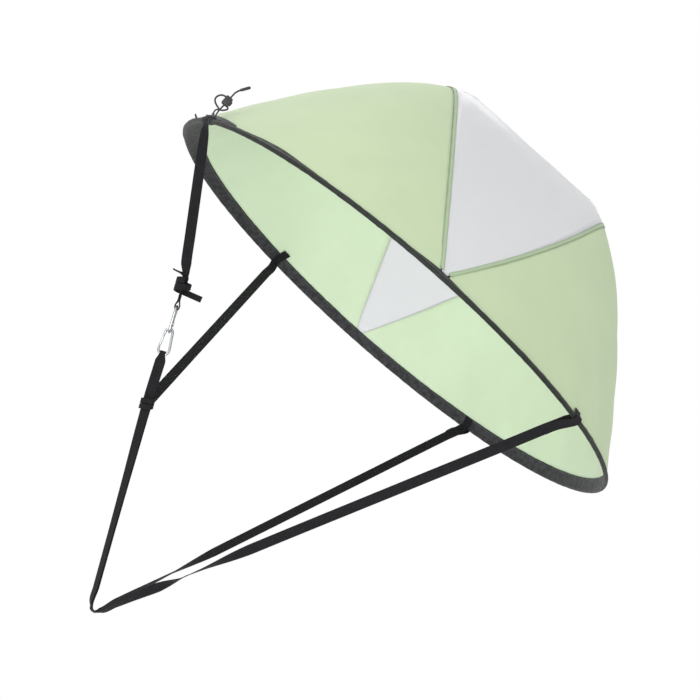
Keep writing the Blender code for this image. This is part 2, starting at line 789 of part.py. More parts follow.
def bridle_side(deg, twists, offset):
    """Keys of one ply, from below the loop, down the riser, round the bight and up a leg."""
    hitch = Vector(HITCH_PLACE)
    bight = Vector(BIGHT)
    down = (bight - hitch).normalized()
    length = (bight - hitch).length
    chain_down = chain_axes()[1]
    keys = [ply_key(hitch - chain_down * (HITCH_LENGTH * HITCH_END_SHARE), chain_down, HITCH_END_TWIST_DEG,
                    offset * RISER_OPEN_SHARE, pieces=RISER_PIECES)]
    for share, twist in RISER_TWISTS_DEG:
        opened = RISER_OPEN_SHARE + (BIGHT_OPEN_SHARE - RISER_OPEN_SHARE) * share * share
        place = hitch + down * (length * share)
        keys.append(ply_key(place, down, twist, offset * opened, pieces=RISER_PIECES))
    legs, heading, anchor = leg_keys(deg, twists, offset)
    start = bight - down * BIGHT_RADIUS
    end = bight + heading * BIGHT_RADIUS
    middle = start / 4 + bight / 2 + end / 4
    wide = offset * BIGHT_OPEN_SHARE
    keys.append(ply_key(start, down, BIGHT_TWIST_DEG, wide, pieces=3))
    keys.append(ply_key(middle, (down + heading).normalized(), BIGHT_TWIST_DEG, wide, pieces=3))
    keys.append(ply_key(end, heading, BIGHT_END_TWIST_DEG, wide, pieces=3))
    keys += legs
    tangent = rim_tangent(deg)
    side = turned(heading, twists[-1][1])
    if tangent.dot(side) < 0:
        tangent = -tangent
    ends = [(key[0], tangent, key[2], key[3]) for key in inner_end_keys(deg, ANCHOR_REACH)]
    keys.append((anchor, (tangent + side).normalized(), WEB_WIDTH, 2))
    return keys + ends


def make_bridle():
    """One webbing runs from the near anchor over the bight and the lower clip to the far anchor."""
    ply = (WEB_THICKNESS + PLY_GAP) / 2
    top, down, clip, overlap = chain_axes()
    near = bridle_side(NEAR_ANCHOR_DEG, NEAR_LEG_TWISTS_DEG, -ply)
    far = bridle_side(FAR_ANCHOR_DEG, FAR_LEG_TWISTS_DEG, ply)
    bow = top + down * (clip + clip - overlap)
    loop = loop_keys(bow, down, 0, 1)
    backward = [(near[k][0], near[k][1], near[k][2], near[k - 1][3]) for k in range(len(near) - 1, 0, -1)]
    backward.append((*near[0][:3], RISER_PIECES))
    ribbon("bridle_strap", backward + loop + far, "webbing")
    for name, deg, twists in (("near_anchor_tab", NEAR_ANCHOR_DEG, NEAR_LEG_TWISTS_DEG),
                              ("far_anchor_tab", FAR_ANCHOR_DEG, FAR_LEG_TWISTS_DEG)):
        make_anchor_tab(name, deg, twists, -ply if deg < 0 else ply)


def make_anchor_tab(name, deg, twists, offset):
    """The second side of a leg's loop, from the leg round the hoop to the cloth's outside."""
    tangent = rim_tangent(deg)
    bight = Vector(BIGHT)
    anchor = rim_place(deg, 0, -ANCHOR_DROP)
    heading = (anchor - bight).normalized()
    side = turned(heading, twists[-1][1])
    if tangent.dot(side) < 0:
        tangent = -tangent
    climb = rim_axes(deg)[1]
    face = heading.cross(side)
    if face.dot(climb) > 0:
        face = -face
    reach = (anchor - bight).length
    start = bight + heading * (reach * twists[-1][0]) + heading.cross(side) * offset
    step = face * (WEB_THICKNESS + PLY_GAP + TAB_GAP)
    tilt = (tangent + side).normalized()
    swing, rise = TAB_TURN_SHARES
    turning = side.lerp(tilt, TAB_RUN / (anchor - start).length)
    keys = [(start + step, side, WEB_WIDTH, 2),
            (start + step + heading * TAB_RUN, turning, WEB_WIDTH, 2),
            (rim_place(deg, -TAB_DROP, -TAB_SWING), (tilt + tangent).normalized(), WEB_WIDTH, 2),
            (rim_place(deg, -TAB_DROP * swing, TAB_TOP * rise), tangent, WEB_WIDTH, 2),
            (rim_place(deg, 0, TAB_TOP), tangent, WEB_WIDTH, 2),
            (row_point(deg, HEM_ROW, TAB_LIFT), tangent, WEB_WIDTH, 1),
            (row_point(deg, TAB_REACH, TAB_LIFT), tangent, WEB_WIDTH, 1)]
    ribbon(name, keys, "webbing")


def squircle(turn, half_width, half_depth, square):
    cosine, sine = math.cos(turn), math.sin(turn)
    return (math.copysign(abs(cosine) ** square, cosine) * half_width,
            math.copysign(abs(sine) ** square, sine) * half_depth)


def wrap_keys(centre, heading, side, sizes, turns, start, square):
    """Turns of webbing round a strap, as a helix of round or flat section."""
    half_width, half_depth, pitch, width = sizes
    face = heading.cross(side)
    count = round(turns * WRAP_STEPS)
    keys = []
    for k in range(count + 1):
        turn = start + math.tau * k / WRAP_STEPS
        x, y = squircle(turn, half_width, half_depth, square)
        rise = pitch * (k / WRAP_STEPS - turns / 2)
        keys.append((centre + side * x + face * y + heading * rise, heading, width, 1))
    return keys


def make_side_strap():
    hitch = Vector(HITCH_PLACE)
    anchor = rim_place(SIDE_STRAP_DEG, 0, -ANCHOR_DROP)
    heading = (anchor - hitch).normalized()
    span = (anchor - hitch).length
    tangent = rim_tangent(SIDE_STRAP_DEG)
    if tangent.dot(turned(heading, 0)) < 0:
        tangent = -tangent
    keys = [ply_key(hitch + heading * (span * share), heading, twist, 0, pieces=3)
            for share, twist in SIDE_TWISTS_DEG]
    keys.append((anchor, (tangent + keys[-1][1]).normalized(), WEB_WIDTH, 2))
    ends = inner_end_keys(SIDE_STRAP_DEG, SIDE_REACH)
    keys += [(key[0], tangent, key[2], key[3]) for key in ends]
    ribbon("side_strap", keys, "webbing")
    down = (Vector(BIGHT) - hitch).normalized()
    axis = (down + chain_axes()[1]).normalized()
    side = turned(axis, HITCH_TWIST_DEG)
    sizes = (HITCH_HALF_WIDTH, HITCH_HALF_DEPTH, WRAP_PITCH, WRAP_WIDTH)
    wraps = wrap_keys(hitch, axis, side, sizes, HITCH_TURNS, math.pi / 2, HITCH_SQUARE_SHARE)
    ribbon("side_strap_hitch", wraps, "webbing", WRAP_THICKNESS)


def make_clip_strap():
    """Webbing lashed to the hoop, knotted, and looped through the upper clip's bow."""
    top, down, clip, overlap = chain_axes()
    knot = Vector(KNOT_PLACE)
    below = (top - knot).normalized()
    open_ply = (WEB_THICKNESS + PLY_GAP) / 2 * KNOT_OPEN_SHARE
    start = rim_place(CLIP_STRAP_DEG, -WRAP_DROP, -WRAP_SWING)
    heading = (knot - start).normalized()
    span = (knot - start).length
    tangent = rim_tangent(CLIP_STRAP_DEG)
    if tangent.dot(turned(heading, 0)) < 0:
        tangent = -tangent
    keys = [(row_point(CLIP_STRAP_DEG, HEM_ROW, WRAP_END_LIFT), tangent, WEB_WIDTH, 2),
            (rim_place(CLIP_STRAP_DEG, 0, WRAP_TOP), tangent, WEB_WIDTH, 2),
            (rim_place(CLIP_STRAP_DEG, -WRAP_DROP, WRAP_TOP * WRAP_LOW_SHARE), tangent, WEB_WIDTH, 2),
            (start, tangent, WEB_WIDTH, 3)]
    keys += [ply_key(start + heading * (span * share), heading, twist, 0, pieces=3)
             for share, twist in CLIP_STRAP_TWISTS_DEG]
    into = knot - below * (KNOT_RADIUS * KNOT_BELOW_SHARE)
    inside = knot + below * (KNOT_RADIUS * KNOT_INSIDE_SHARE)
    keys.append(ply_key(into, below, KNOT_TWISTS_DEG[0], -open_ply, KNOT_INNER_WIDTH, 6))
    keys.append(ply_key(inside, below, KNOT_TWISTS_DEG[1], -open_ply, KNOT_INNER_WIDTH, 4))
    loop = loop_keys(top, -below, 90, -1)
    keys += [(key[0], key[1], key[2], key[3]) for key in loop[:-1]]
    keys.append((*loop[-1][:3], 4))
    keys.append(ply_key(inside, below, KNOT_TWISTS_DEG[1], open_ply, KNOT_INNER_WIDTH, 6))
    keys.append(ply_key(into, below, KNOT_TWISTS_DEG[0], open_ply, KNOT_INNER_WIDTH, 3))
    tip = Vector(KNOT_TIP_PLACE)
    keys.append((tip, turned(below, KNOT_TIP_TWIST_DEG), KNOT_TIP_WIDTH, 1))
    ribbon("clip_strap", keys, "webbing")
    side = turned(below, 0)
    sizes = (KNOT_RADIUS, KNOT_RADIUS, KNOT_PITCH, KNOT_WRAP_WIDTH)
    wraps = wrap_keys(knot, below, side, sizes, KNOT_TURNS, -math.pi / 2, KNOT_SQUARE_SHARE)
    tuck = knot - below.cross(side) * KNOT_TUCK + below * below.dot(wraps[0][0] - knot)
    wraps.insert(0, (tuck, below, KNOT_WRAP_WIDTH, 3))
    tail = Vector(KNOT_TAIL_PLACE)
    away = (tail - wraps[-1][0])
    wraps.append((wraps[-1][0] + away * KNOT_TAIL_SHARE, below, KNOT_WRAP_WIDTH, 1))
    wraps.append((tail, below, KNOT_WRAP_WIDTH, 1))
    ribbon("clip_strap_knot", wraps, "webbing", KNOT_WRAP_THICKNESS)


# Snap clips
def clip_frame(name):
    """Clip axes: across its plane's width, along it from bow to eye, and through its plane."""
    top, down, clip, overlap = chain_axes()
    deep = turned(down, 90)
    across = turned(down, 0)
    if name == "upper":
        origin, along, wide = top, down, deep
    else:
        origin, along, wide = top + down * (clip + clip - overlap), -down, across
    through = wide.cross(along)
    frame = Matrix((wide, along, through)).transposed().to_4x4()
    frame.translation = origin
    return frame


def clip_sides():
    """Bow and eye centres, and the lean of the straight sides between them."""
    lean = math.asin((BOW_RADIUS - EYE_RADIUS) / EYE_SPACING)
    return Vector((0, BOW_RADIUS)), Vector((0, BOW_RADIUS + EYE_SPACING)), lean


def gate_line():
    """Where the gate's side leaves the bow, its direction, and its length to the eye."""
    bow, eye, lean = clip_sides()
    outward = Vector((math.cos(lean), math.sin(lean)))
    low = bow + outward * BOW_RADIUS
    high = eye + outward * EYE_RADIUS
    return low, (high - low).normalized(), (high - low).length


def clip_line():
    """Middle of the body's wire from the nose round the bow and the eye to the tongue."""
    bow, eye, lean = clip_sides()
    low, rise, length = gate_line()
    line = [low + rise * NOSE_REACH]
    for k in range(BOW_STEPS + 1):
        turn = lean - (math.pi + lean * 2) * k / BOW_STEPS
        line.append(bow + Vector((math.cos(turn), math.sin(turn))) * BOW_RADIUS)
    for k in range(EYE_STEPS + 1):
        turn = math.pi - lean - (math.pi - lean * 2) * k / EYE_STEPS
        line.append(eye + Vector((math.cos(turn), math.sin(turn))) * EYE_RADIUS)
    line.append(low + rise * (length - HINGE_REACH))
    return line


def flat_loft_loops(line, sizes, shifts=None):
    """Sections across a line in the clip's plane, each with its half width and half thickness."""
    loops = []
    shifts = shifts or [0.0] * len(line)
    for point, heading, (half_width, half_depth), shift in zip(line, tangents(line), sizes, shifts):
        side = Vector((heading.y, -heading.x))
        loops.append([Vector((point.x + side.x * a * half_width, point.y + side.y * a * half_width,
                              b * half_depth + shift)) for a, b in circle(1, SIDES, 0.5)])
    return loops


def pin_place():
    low, rise, length = gate_line()
    return low + rise * (length - HINGE_REACH - TONGUE_LENGTH * PIN_SHARE)


def make_cutter(name, loops, frame):
    shell = bmesh.new()
    add_loft(shell, loops)
    bmesh.ops.recalc_face_normals(shell, faces=shell.faces)
    mesh = bpy.data.meshes.new(name)
    shell.to_mesh(mesh)
    shell.free()
    thing = bpy.data.objects.new(name, mesh)
    bpy.context.scene.collection.objects.link(thing)
    thing.parent = SAIL
    thing.matrix_local = frame
    return thing


def cross_bore(name, place, radius, half, frame):
    loops = [[Vector((place.x + x, place.y + y, z)) for x, y in circle(radius, 12)] for z in (-half, half)]
    return make_cutter(name, loops, frame)


def make_clip(name):
    frame = clip_frame(name)
    low, rise, length = gate_line()
    pin = pin_place()
    line = clip_line()
    sizes = [(WIRE_RADIUS, WIRE_RADIUS)] * len(line)
    sizes[0] = (WIRE_RADIUS * NOSE_SHARE, WIRE_RADIUS * NOSE_SHARE)
    tongue = low + rise * (length - HINGE_REACH)
    line += [tongue - rise * (TONGUE_LENGTH * TONGUE_ROOT_SHARE), tongue - rise * TONGUE_LENGTH]
    sizes += [(TONGUE_HALF_WIDTH, TONGUE_HALF)] * 2
    shifts = [0.0] * (len(line) - 2) + [-TONGUE_SHIFT] * 2
    body = loft(name + "_clip_body", flat_loft_loops(line, sizes, shifts), "plated", frame=frame)
    bore = PIN_RADIUS + PIN_CLEARANCE
    cut(body, cross_bore(name + "_tongue_bore", pin, bore, WIRE_RADIUS, frame))
    make_gate(name, frame, pin, low, rise, bore)
    make_pin_and_spring(name, frame, pin)


def make_gate(name, frame, pin, low, rise, bore):
    """Round gate with a slotted fork at the pin, its origin on the pin's axis."""
    hinge = frame @ Matrix.Translation((pin.x, pin.y, 0))
    foot = low + rise * (NOSE_REACH + GATE_NOSE_GAP)
    span = (pin - foot).length
    half_fork = FORK_GAP / 2 + FORK_CHEEK
    back = FORK_LENGTH * FORK_BACK_SHARE
    nose, taper = GATE_NOSE_SHARES
    stations = ((-span, nose), (-span + GATE_RADIUS * taper, 1), (-FORK_LENGTH * FORK_NECK_SHARE, 1))
    line = [rise * place for place, share in stations]
    sizes = [(GATE_RADIUS * share, GATE_RADIUS * share) for place, share in stations]
    line += [rise * -FORK_LENGTH, rise * back]
    sizes += [(FORK_HALF_WIDTH, half_fork), (FORK_HALF_WIDTH, half_fork)]
    gate = loft(name + "_gate", flat_loft_loops(line, sizes), "plated", frame=hinge)
    slot_low = rise * (-FORK_LENGTH * FORK_SLOT_SHARE)
    slot_high = rise * (back + FORK_LENGTH)
    side = Vector((rise.y, -rise.x)) * (FORK_HALF_WIDTH + FORK_CHEEK)
    loops = []
    for end in (slot_low, slot_high):
        loops.append([Vector(((end + side * a).x, (end + side * a).y, FORK_GAP / 2 * b))
                      for a, b in ((1, 1), (-1, 1), (-1, -1), (1, -1))])
    cut(gate, make_cutter(name + "_gate_slot", loops, hinge))
    cut(gate, cross_bore(name + "_gate_bore", Vector((0, 0)), bore, half_fork + FORK_CHEEK, hinge))


def make_pin_and_spring(name, frame, pin):
    half = FORK_GAP / 2 + FORK_CHEEK
    at_pin = frame @ Matrix.Translation((pin.x, pin.y, 0))
    loops = [[Vector((x, y, z)) for x, y in circle(PIN_RADIUS, SIDES)] for z in (-half, half)]
    loft(name + "_gate_pin", loops, "plated", frame=at_pin)
    count = round(SPRING_TURNS * COIL_STEPS)
    start = FORK_GAP / 2 - PIN_CLEARANCE - SPRING_WIRE
    points = []
    for k in range(count + 1):
        turn = math.tau * SPRING_TURNS * k / count
        points.append((SPRING_RADIUS * math.cos(turn), SPRING_RADIUS * math.sin(turn),
                       start - SPRING_PITCH * SPRING_TURNS * k / count))
    spring = cord(name + "_gate_spring", points, SPRING_WIRE, "spring", smooth=1)
    spring.matrix_local = at_pin
    print_coil_gap(name + "_gate_spring", points, SPRING_WIRE)


# Tether, cord lock and small cords
def make_lock():
    centre = Vector(LOCK_CENTRE)
    frame = Matrix.Translation(centre)
    half_height, half_depth = LOCK_HEIGHT / 2, LOCK_DEPTH / 2
    body = rounded_box("cord_lock_body", (-LOCK_LEFT, LOCK_RIGHT), half_depth, half_height, LOCK_ROUND, frame)
    bore_end = LOCK_LEFT - LOCK_WALL
    cut(body, box_cutter("lock_bore", (-bore_end, LOCK_RIGHT + LOCK_WALL),
                         PLUNGER_DEPTH / 2 + PLUNGER_GAP, PLUNGER_HEIGHT / 2 + PLUNGER_GAP, frame))
    slot = CORD_RADIUS + CORD_CLEARANCE
    slot_depth = CORD_SPREAD + CORD_RADIUS + CORD_CLEARANCE
    cut(body, box_cutter("lock_cord_bore", (-slot, slot), slot_depth, half_height + LOCK_WALL, frame))
    plunger = rounded_box("cord_lock_plunger", (-PLUNGER_INNER, PLUNGER_OUTER), PLUNGER_DEPTH / 2,
                          PLUNGER_HEIGHT / 2, PLUNGER_GAP, frame)
    cut(plunger, box_cutter("plunger_bore", (-slot, slot + PLUNGER_TRAVEL), slot_depth, half_height, frame))
    space = bore_end - PLUNGER_INNER
    length = LOCK_SPRING_PITCH * LOCK_SPRING_TURNS
    count = LOCK_SPRING_TURNS * COIL_STEPS
    start = -bore_end + (space - length) / 2
    points = []
    for k in range(count + 1):
        turn = math.tau * LOCK_SPRING_TURNS * k / count
        points.append((start + length * k / count, LOCK_SPRING_RADIUS * math.cos(turn),
                       LOCK_SPRING_RADIUS * math.sin(turn)))
    spring = cord("cord_lock_spring", points, LOCK_SPRING_WIRE, "spring", smooth=1)
    spring.matrix_local = frame
    print_coil_gap("cord_lock_spring", points, LOCK_SPRING_WIRE)


def box_loops(ends, half_depth, half_height, round_by):
    """Sections along x of a box whose four long edges are cut back by round_by."""
    y, z = half_depth, half_height
    cy, cz = y - round_by, z - round_by
    section = [(cy, z), (-cy, z), (-y, cz), (-y, -cz), (-cy, -z), (cy, -z), (y, -cz), (y, cz)]
    inset = round_by / 2
    loops = []
    for x, scale in ((ends[0], 1), (ends[0] + inset, 0), (ends[1] - inset, 0), (ends[1], 1)):
        loops.append([Vector((x, a - math.copysign(inset * scale, a), b - math.copysign(inset * scale, b)))
                      for a, b in section])
    return loops


def rounded_box(name, ends, half_depth, half_height, round_by, frame):
    return loft(name, box_loops(ends, half_depth, half_height, round_by), "lock", frame=frame)


def box_cutter(name, ends, half_depth, half_height, frame):
    loops = [[Vector((x, a * half_depth, b * half_height)) for a, b in ((1, 1), (-1, 1), (-1, -1), (1, -1))]
             for x in ends]
    return make_cutter(name, loops, frame)


def make_tether():
    """Two strands of shock cord from the lashing, through the lock, to a joined end."""
    centre = Vector(LOCK_CENTRE)
    low, lower, higher, high = [centre + Vector((0, 0, height)) for height in TETHER_STRAIGHT]
    across = Vector((0, CORD_SPREAD, 0))
    end = Vector(TETHER_END)
    bend = Vector(TETHER_BEND)
    foot = Vector(TETHER_FOOT)
    strand = (foot, low, lower, higher, high, bend)
    heading = (end - bend).normalized()
    turns = [math.pi * k / TIP_STEPS for k in range(TIP_STEPS + 1)]
    wide = Vector((0, TIP_SPREAD, 0))
    tip = [end + heading * (TIP_SPREAD * math.sin(turn)) + wide * math.cos(turn) for turn in turns]
    points = [p + across for p in strand] + tip + [p - across for p in reversed(strand)]
    cord("tether_cord", points, CORD_RADIUS, "cord", smooth=3)


def make_lashing():
    """Cord wound beside the clip strap on both sides and crossing over its end."""
    route = []
    bend, side = [LASH_OUT * share for share in LASH_BEND_SHARES]
    ring = ((LASH_CLIMB, LASH_LIFT), (0.0, LASH_OUT), (-bend, side), (-LASH_OUT, 0.0),
            (-bend, -side), (0.0, -LASH_OUT), (LASH_CLIMB, -LASH_LIFT))
    for k, place in enumerate(LASH_TURN_SHARES):
        shift = math.copysign(LASH_SHIFT, place) + place * LASH_PITCH
        deg = CLIP_STRAP_DEG + math.degrees(shift / HOOP_RADIUS)
        points = [rim_place(deg, climb, lift) for climb, lift in ring]
        route += points[::-1] if k % 2 else points
        if k == 1:
            for shift in (-LASH_CROSS_SHIFT, 0.0, LASH_CROSS_SHIFT):
                deg = CLIP_STRAP_DEG + math.degrees(shift / HOOP_RADIUS)
                route.append(rim_place(deg, LASH_CROSS_CLIMB, LASH_CROSS_LIFT))
    cord("tether_lashing", route, FINE_CORD_RADIUS, "cord", smooth=2)


def make_small_loops():
    """A loop at the sail's highest seam end and one at the hoop, both on the cloth's outside."""
    loops = (("keel_loop", KEEL_LOOP_DEG, KEEL_LOOP_ROW, KEEL_LOOP_SPREAD, KEEL_LOOP_HEIGHT),
             ("rim_loop", RIM_LOOP_DEG, RIM_LOOP_ROW, RIM_LOOP_SPREAD, RIM_LOOP_HEIGHT))
    for name, deg, row, spread, height in loops:
        half = math.degrees(spread / 2 / HOOP_RADIUS)
        left = row_point(deg - half, row, LOOP_SEATS[name])
        right = row_point(deg + half, row, LOOP_SEATS[name])
        normal = rim_axes(deg)[2]
        middle = (left + right) / 2 + normal * height
        rise, bulge = LOOP_BULGE_SHARES
        points = [left, left.lerp(middle, rise) - (right - left) * bulge, middle,
                  right.lerp(middle, rise) + (right - left) * bulge, right]
        cord(name, points, FINE_CORD_RADIUS, "cord")


def main():
    global SAIL
    clear_scene()
    SAIL = bpy.data.objects.new("sail_axes", None)
    bpy.context.scene.collection.objects.link(SAIL)
    tilt = Matrix.Rotation(math.radians(TILT_DEG), 4, "Y")
    SAIL.matrix_world = tilt @ Matrix.Translation(-Vector(BIGHT))
    bpy.context.view_layer.update()
    make_sail_cloth()
    make_bridle()
    make_side_strap()
    make_clip_strap()
    make_clip("upper")
    make_clip("lower")
    make_lock()
    make_tether()
    make_lashing()
    make_small_loops()


main()
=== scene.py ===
# Framed canoe sail on its bridle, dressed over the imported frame
import json
import math

import bmesh
import bpy
from mathutils import Matrix, Vector, noise

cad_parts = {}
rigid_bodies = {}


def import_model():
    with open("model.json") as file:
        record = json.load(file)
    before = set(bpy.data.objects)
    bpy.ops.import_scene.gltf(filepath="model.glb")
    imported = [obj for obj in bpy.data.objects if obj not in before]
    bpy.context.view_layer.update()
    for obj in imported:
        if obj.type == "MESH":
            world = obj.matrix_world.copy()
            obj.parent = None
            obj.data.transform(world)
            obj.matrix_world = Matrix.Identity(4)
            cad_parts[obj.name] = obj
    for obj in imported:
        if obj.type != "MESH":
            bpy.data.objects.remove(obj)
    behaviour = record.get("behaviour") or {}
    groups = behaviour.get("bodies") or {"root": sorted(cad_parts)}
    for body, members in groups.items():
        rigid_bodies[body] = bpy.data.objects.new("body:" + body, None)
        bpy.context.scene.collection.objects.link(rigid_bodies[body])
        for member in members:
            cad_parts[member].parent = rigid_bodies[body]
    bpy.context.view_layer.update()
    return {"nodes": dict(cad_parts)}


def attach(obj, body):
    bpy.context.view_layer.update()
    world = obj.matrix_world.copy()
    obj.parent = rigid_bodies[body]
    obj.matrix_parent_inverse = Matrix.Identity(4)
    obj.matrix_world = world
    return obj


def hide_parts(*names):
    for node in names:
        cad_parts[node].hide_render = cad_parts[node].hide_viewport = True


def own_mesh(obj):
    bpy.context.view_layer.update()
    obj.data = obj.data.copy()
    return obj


for spare in list(bpy.data.objects):
    bpy.data.objects.remove(spare)
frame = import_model()
print("frame loaded")

# the sail's own sizes, as the frame was built, in metres
sail = {
    "hoopRadius": 0.540, "domeHeight": 0.449, "ridgeHalf": 0.147, "cornerOffset": 0.215,
    "leftBow": 0.010, "rightBow": 0.026, "keelPower": 1.55, "sidePower": 1.16,
    "hemRows": (0.0065, 0.0085, 0.012, 0.019), "hemRow": 0.012, "bandRow": 0.027,
    "skinStep": 0.002, "rimStep": 0.006,
    "tiltDeg": 41.1, "bight": (-0.052, 0.0, -0.803), "viewShares": (0.045, 0.988, 0.149),
}
webbing = {"width": 0.020, "thickness": 0.0015, "plyGap": 0.0004, "fineness": 4}
sailAxes = Matrix.Rotation(math.radians(sail["tiltDeg"]), 4, "Y") @ Matrix.Translation(-Vector(sail["bight"]))
lookAlong = Vector(sail["viewShares"]).normalized()
tiny = 1e-6
weld = 1e-5    # points nearer than this become one


# camera at the photograph's viewing angle
cameraSettings = {"place": (0.081, -3.04, 0.239), "along": (0.132, 0.988, 0.083), "lens": 80.0, "sensor": 36.0}


def makeCamera():
    data = bpy.data.cameras.new("photoCamera")
    data.lens = cameraSettings["lens"]
    data.sensor_width = cameraSettings["sensor"]
    data.sensor_fit = "HORIZONTAL"
    camera = bpy.data.objects.new("photoCamera", data)
    bpy.context.scene.collection.objects.link(camera)
    camera.location = cameraSettings["place"]
    camera.rotation_euler = Vector(cameraSettings["along"]).to_track_quat("-Z", "Y").to_euler()
    bpy.context.scene.camera = camera


makeCamera()
print("camera set")


# light, backdrop and floor
studio = {
    "floorPlace": (0.5, 0.0, -0.75), "floorSize": 6.4, "floorColour": (0.9, 0.9, 0.9), "floorRoughness": 0.8,
    "worldStrength": 0.62,
}
# place, the point that the lamp faces, size and power
lamps = {
    "keyLight": ((-1.6, -2.6, 2.6), (0.5, 0.0, 0.5), 2.2, 30.0),
    "fillLight": ((2.6, -2.2, 0.6), (0.5, 0.0, 0.4), 2.4, 11.0),
    "topLight": ((0.9, 1.4, 3.0), (0.6, 0.0, 0.6), 2.4, 18.0),
    "lowLight": ((-0.7, -3.0, -0.1), (0.8, 0.2, 0.35), 1.3, 52.0),
}


def mathOf(tree, operation, first, second=0.0):
    node = tree.nodes.new("ShaderNodeMath")
    node.operation = operation
    for slot, value in zip(node.inputs, (first, second)):
        if isinstance(value, (int, float)):
            slot.default_value = value
        else:
            tree.links.new(value, slot)
    return node.outputs[0]


def areaLight(name, place, target, size, power):
    data = bpy.data.lights.new(name, "AREA")
    data.shape = "SQUARE"
    data.size = size
    data.energy = power
    lamp = bpy.data.objects.new(name, data)
    bpy.context.scene.collection.objects.link(lamp)
    lamp.location = place
    lamp.rotation_euler = (Vector(target) - Vector(place)).to_track_quat("-Z", "Y").to_euler()


def whiteForCamera(tree, soft, bright, target):
    # camera, glossy and transmission rays meet plain white, the rest meet the soft light
    path = tree.nodes.new("ShaderNodeLightPath")
    either = mathOf(tree, "MAXIMUM", path.outputs["Is Camera Ray"], path.outputs["Is Glossy Ray"])
    seen = mathOf(tree, "MAXIMUM", either, path.outputs["Is Transmission Ray"])
    mix = tree.nodes.new("ShaderNodeMixShader")
    for slot, source in zip(mix.inputs, (seen, soft.outputs[0], bright.outputs[0])):
        tree.links.new(source, slot)
    tree.links.new(mix.outputs[0], target)


def makeWorld():
    world = bpy.data.worlds.new("studioWorld")
    bpy.context.scene.world = world
    world.use_nodes = True
    tree = world.node_tree
    soft, bright = tree.nodes["Background"], tree.nodes.new("ShaderNodeBackground")
    for light, strength in ((soft, studio["worldStrength"]), (bright, 1.0)):
        light.inputs["Color"].default_value = (1.0, 1.0, 1.0, 1.0)
        light.inputs["Strength"].default_value = strength
    whiteForCamera(tree, soft, bright, tree.nodes["World Output"].inputs["Surface"])


def makeFloor():
    bpy.ops.mesh.primitive_plane_add(size=studio["floorSize"], location=studio["floorPlace"])
    floor = bpy.context.object
    floor.name = "studioFloor"
    paint = bpy.data.materials.new("floorWhite")
    paint.use_nodes = True
    shader = paint.node_tree.nodes["Principled BSDF"]
    shader.inputs["Base Color"].default_value = (*studio["floorColour"], 1.0)
    shader.inputs["Roughness"].default_value = studio["floorRoughness"]
    floor.data.materials.append(paint)


bpy.context.scene.view_settings.view_transform = "Standard"
makeWorld()
for lampName, lampSettings in lamps.items():
    areaLight(lampName, *lampSettings)
makeFloor()
print("studio lit")


# materials; a look may name any of these sockets
socketOf = {
    "roughness": "Roughness", "metallic": "Metallic", "specular": "Specular IOR Level", "sheen": "Sheen Weight",
    "sheenRoughness": "Sheen Roughness", "transmission": "Transmission Weight", "ior": "IOR",
}


def newMaterial(name, colour, look):
    paint = bpy.data.materials.new(name)
    paint.use_nodes = True
    shader = paint.node_tree.nodes["Principled BSDF"]
    shader.inputs["Base Color"].default_value = (*colour, 1.0)
    for setting, socket in socketOf.items():
        if setting in look:
            shader.inputs[socket].default_value = look[setting]
    return paint, paint.node_tree, shader


def patternSpace(tree, source, stretch=(1.0, 1.0, 1.0), turn=0.0):
    coords = tree.nodes.new("ShaderNodeTexCoord")
    mapping = tree.nodes.new("ShaderNodeMapping")
    mapping.inputs["Scale"].default_value = stretch
    mapping.inputs["Rotation"].default_value = (0.0, 0.0, turn)
    tree.links.new(coords.outputs[source], mapping.inputs["Vector"])
    return mapping.outputs["Vector"]


def waveLines(tree, space, direction, pitch):
    wave = tree.nodes.new("ShaderNodeTexWave")
    wave.bands_direction = direction
    wave.inputs["Scale"].default_value = math.pi / (10.0 * pitch)    # the node's scale for lines a pitch apart
    tree.links.new(space, wave.inputs["Vector"])
    return wave.outputs["Fac"]


def crossedLines(tree, space, operation, pitch):
    return mathOf(tree, operation, waveLines(tree, space, "X", pitch), waveLines(tree, space, "Y", pitch))


def noiseOf(tree, space, scale, detail=3.0, roughness=0.55):
    node = tree.nodes.new("ShaderNodeTexNoise")
    node.inputs["Scale"].default_value = scale
    node.inputs["Detail"].default_value = detail
    node.inputs["Roughness"].default_value = roughness
    tree.links.new(space, node.inputs["Vector"])
    return node.outputs["Fac"]


def colourBetween(tree, fac, dark, light, shader, low=0.3, high=0.7):
    ramp = tree.nodes.new("ShaderNodeValToRGB")
    for element, place, colour in zip(ramp.color_ramp.elements, (low, high), (dark, light)):
        element.position = place
        element.color = (*colour, 1.0)
    tree.links.new(fac, ramp.inputs[0])
    tree.links.new(ramp.outputs[0], shader.inputs["Base Color"])


def bumpStack(tree, shader, heights, bumps):
    # one bump node for each height, with its strength and its depth in metres
    for height, (strength, depth) in zip(heights, bumps):
        bump = tree.nodes.new("ShaderNodeBump")
        bump.inputs["Strength"].default_value = strength
        bump.inputs["Distance"].default_value = depth
        tree.links.new(height, bump.inputs["Height"])
        if shader.inputs["Normal"].is_linked:
            tree.links.new(shader.inputs["Normal"].links[0].from_socket, bump.inputs["Normal"])
        tree.links.new(bump.outputs["Normal"], shader.inputs["Normal"])


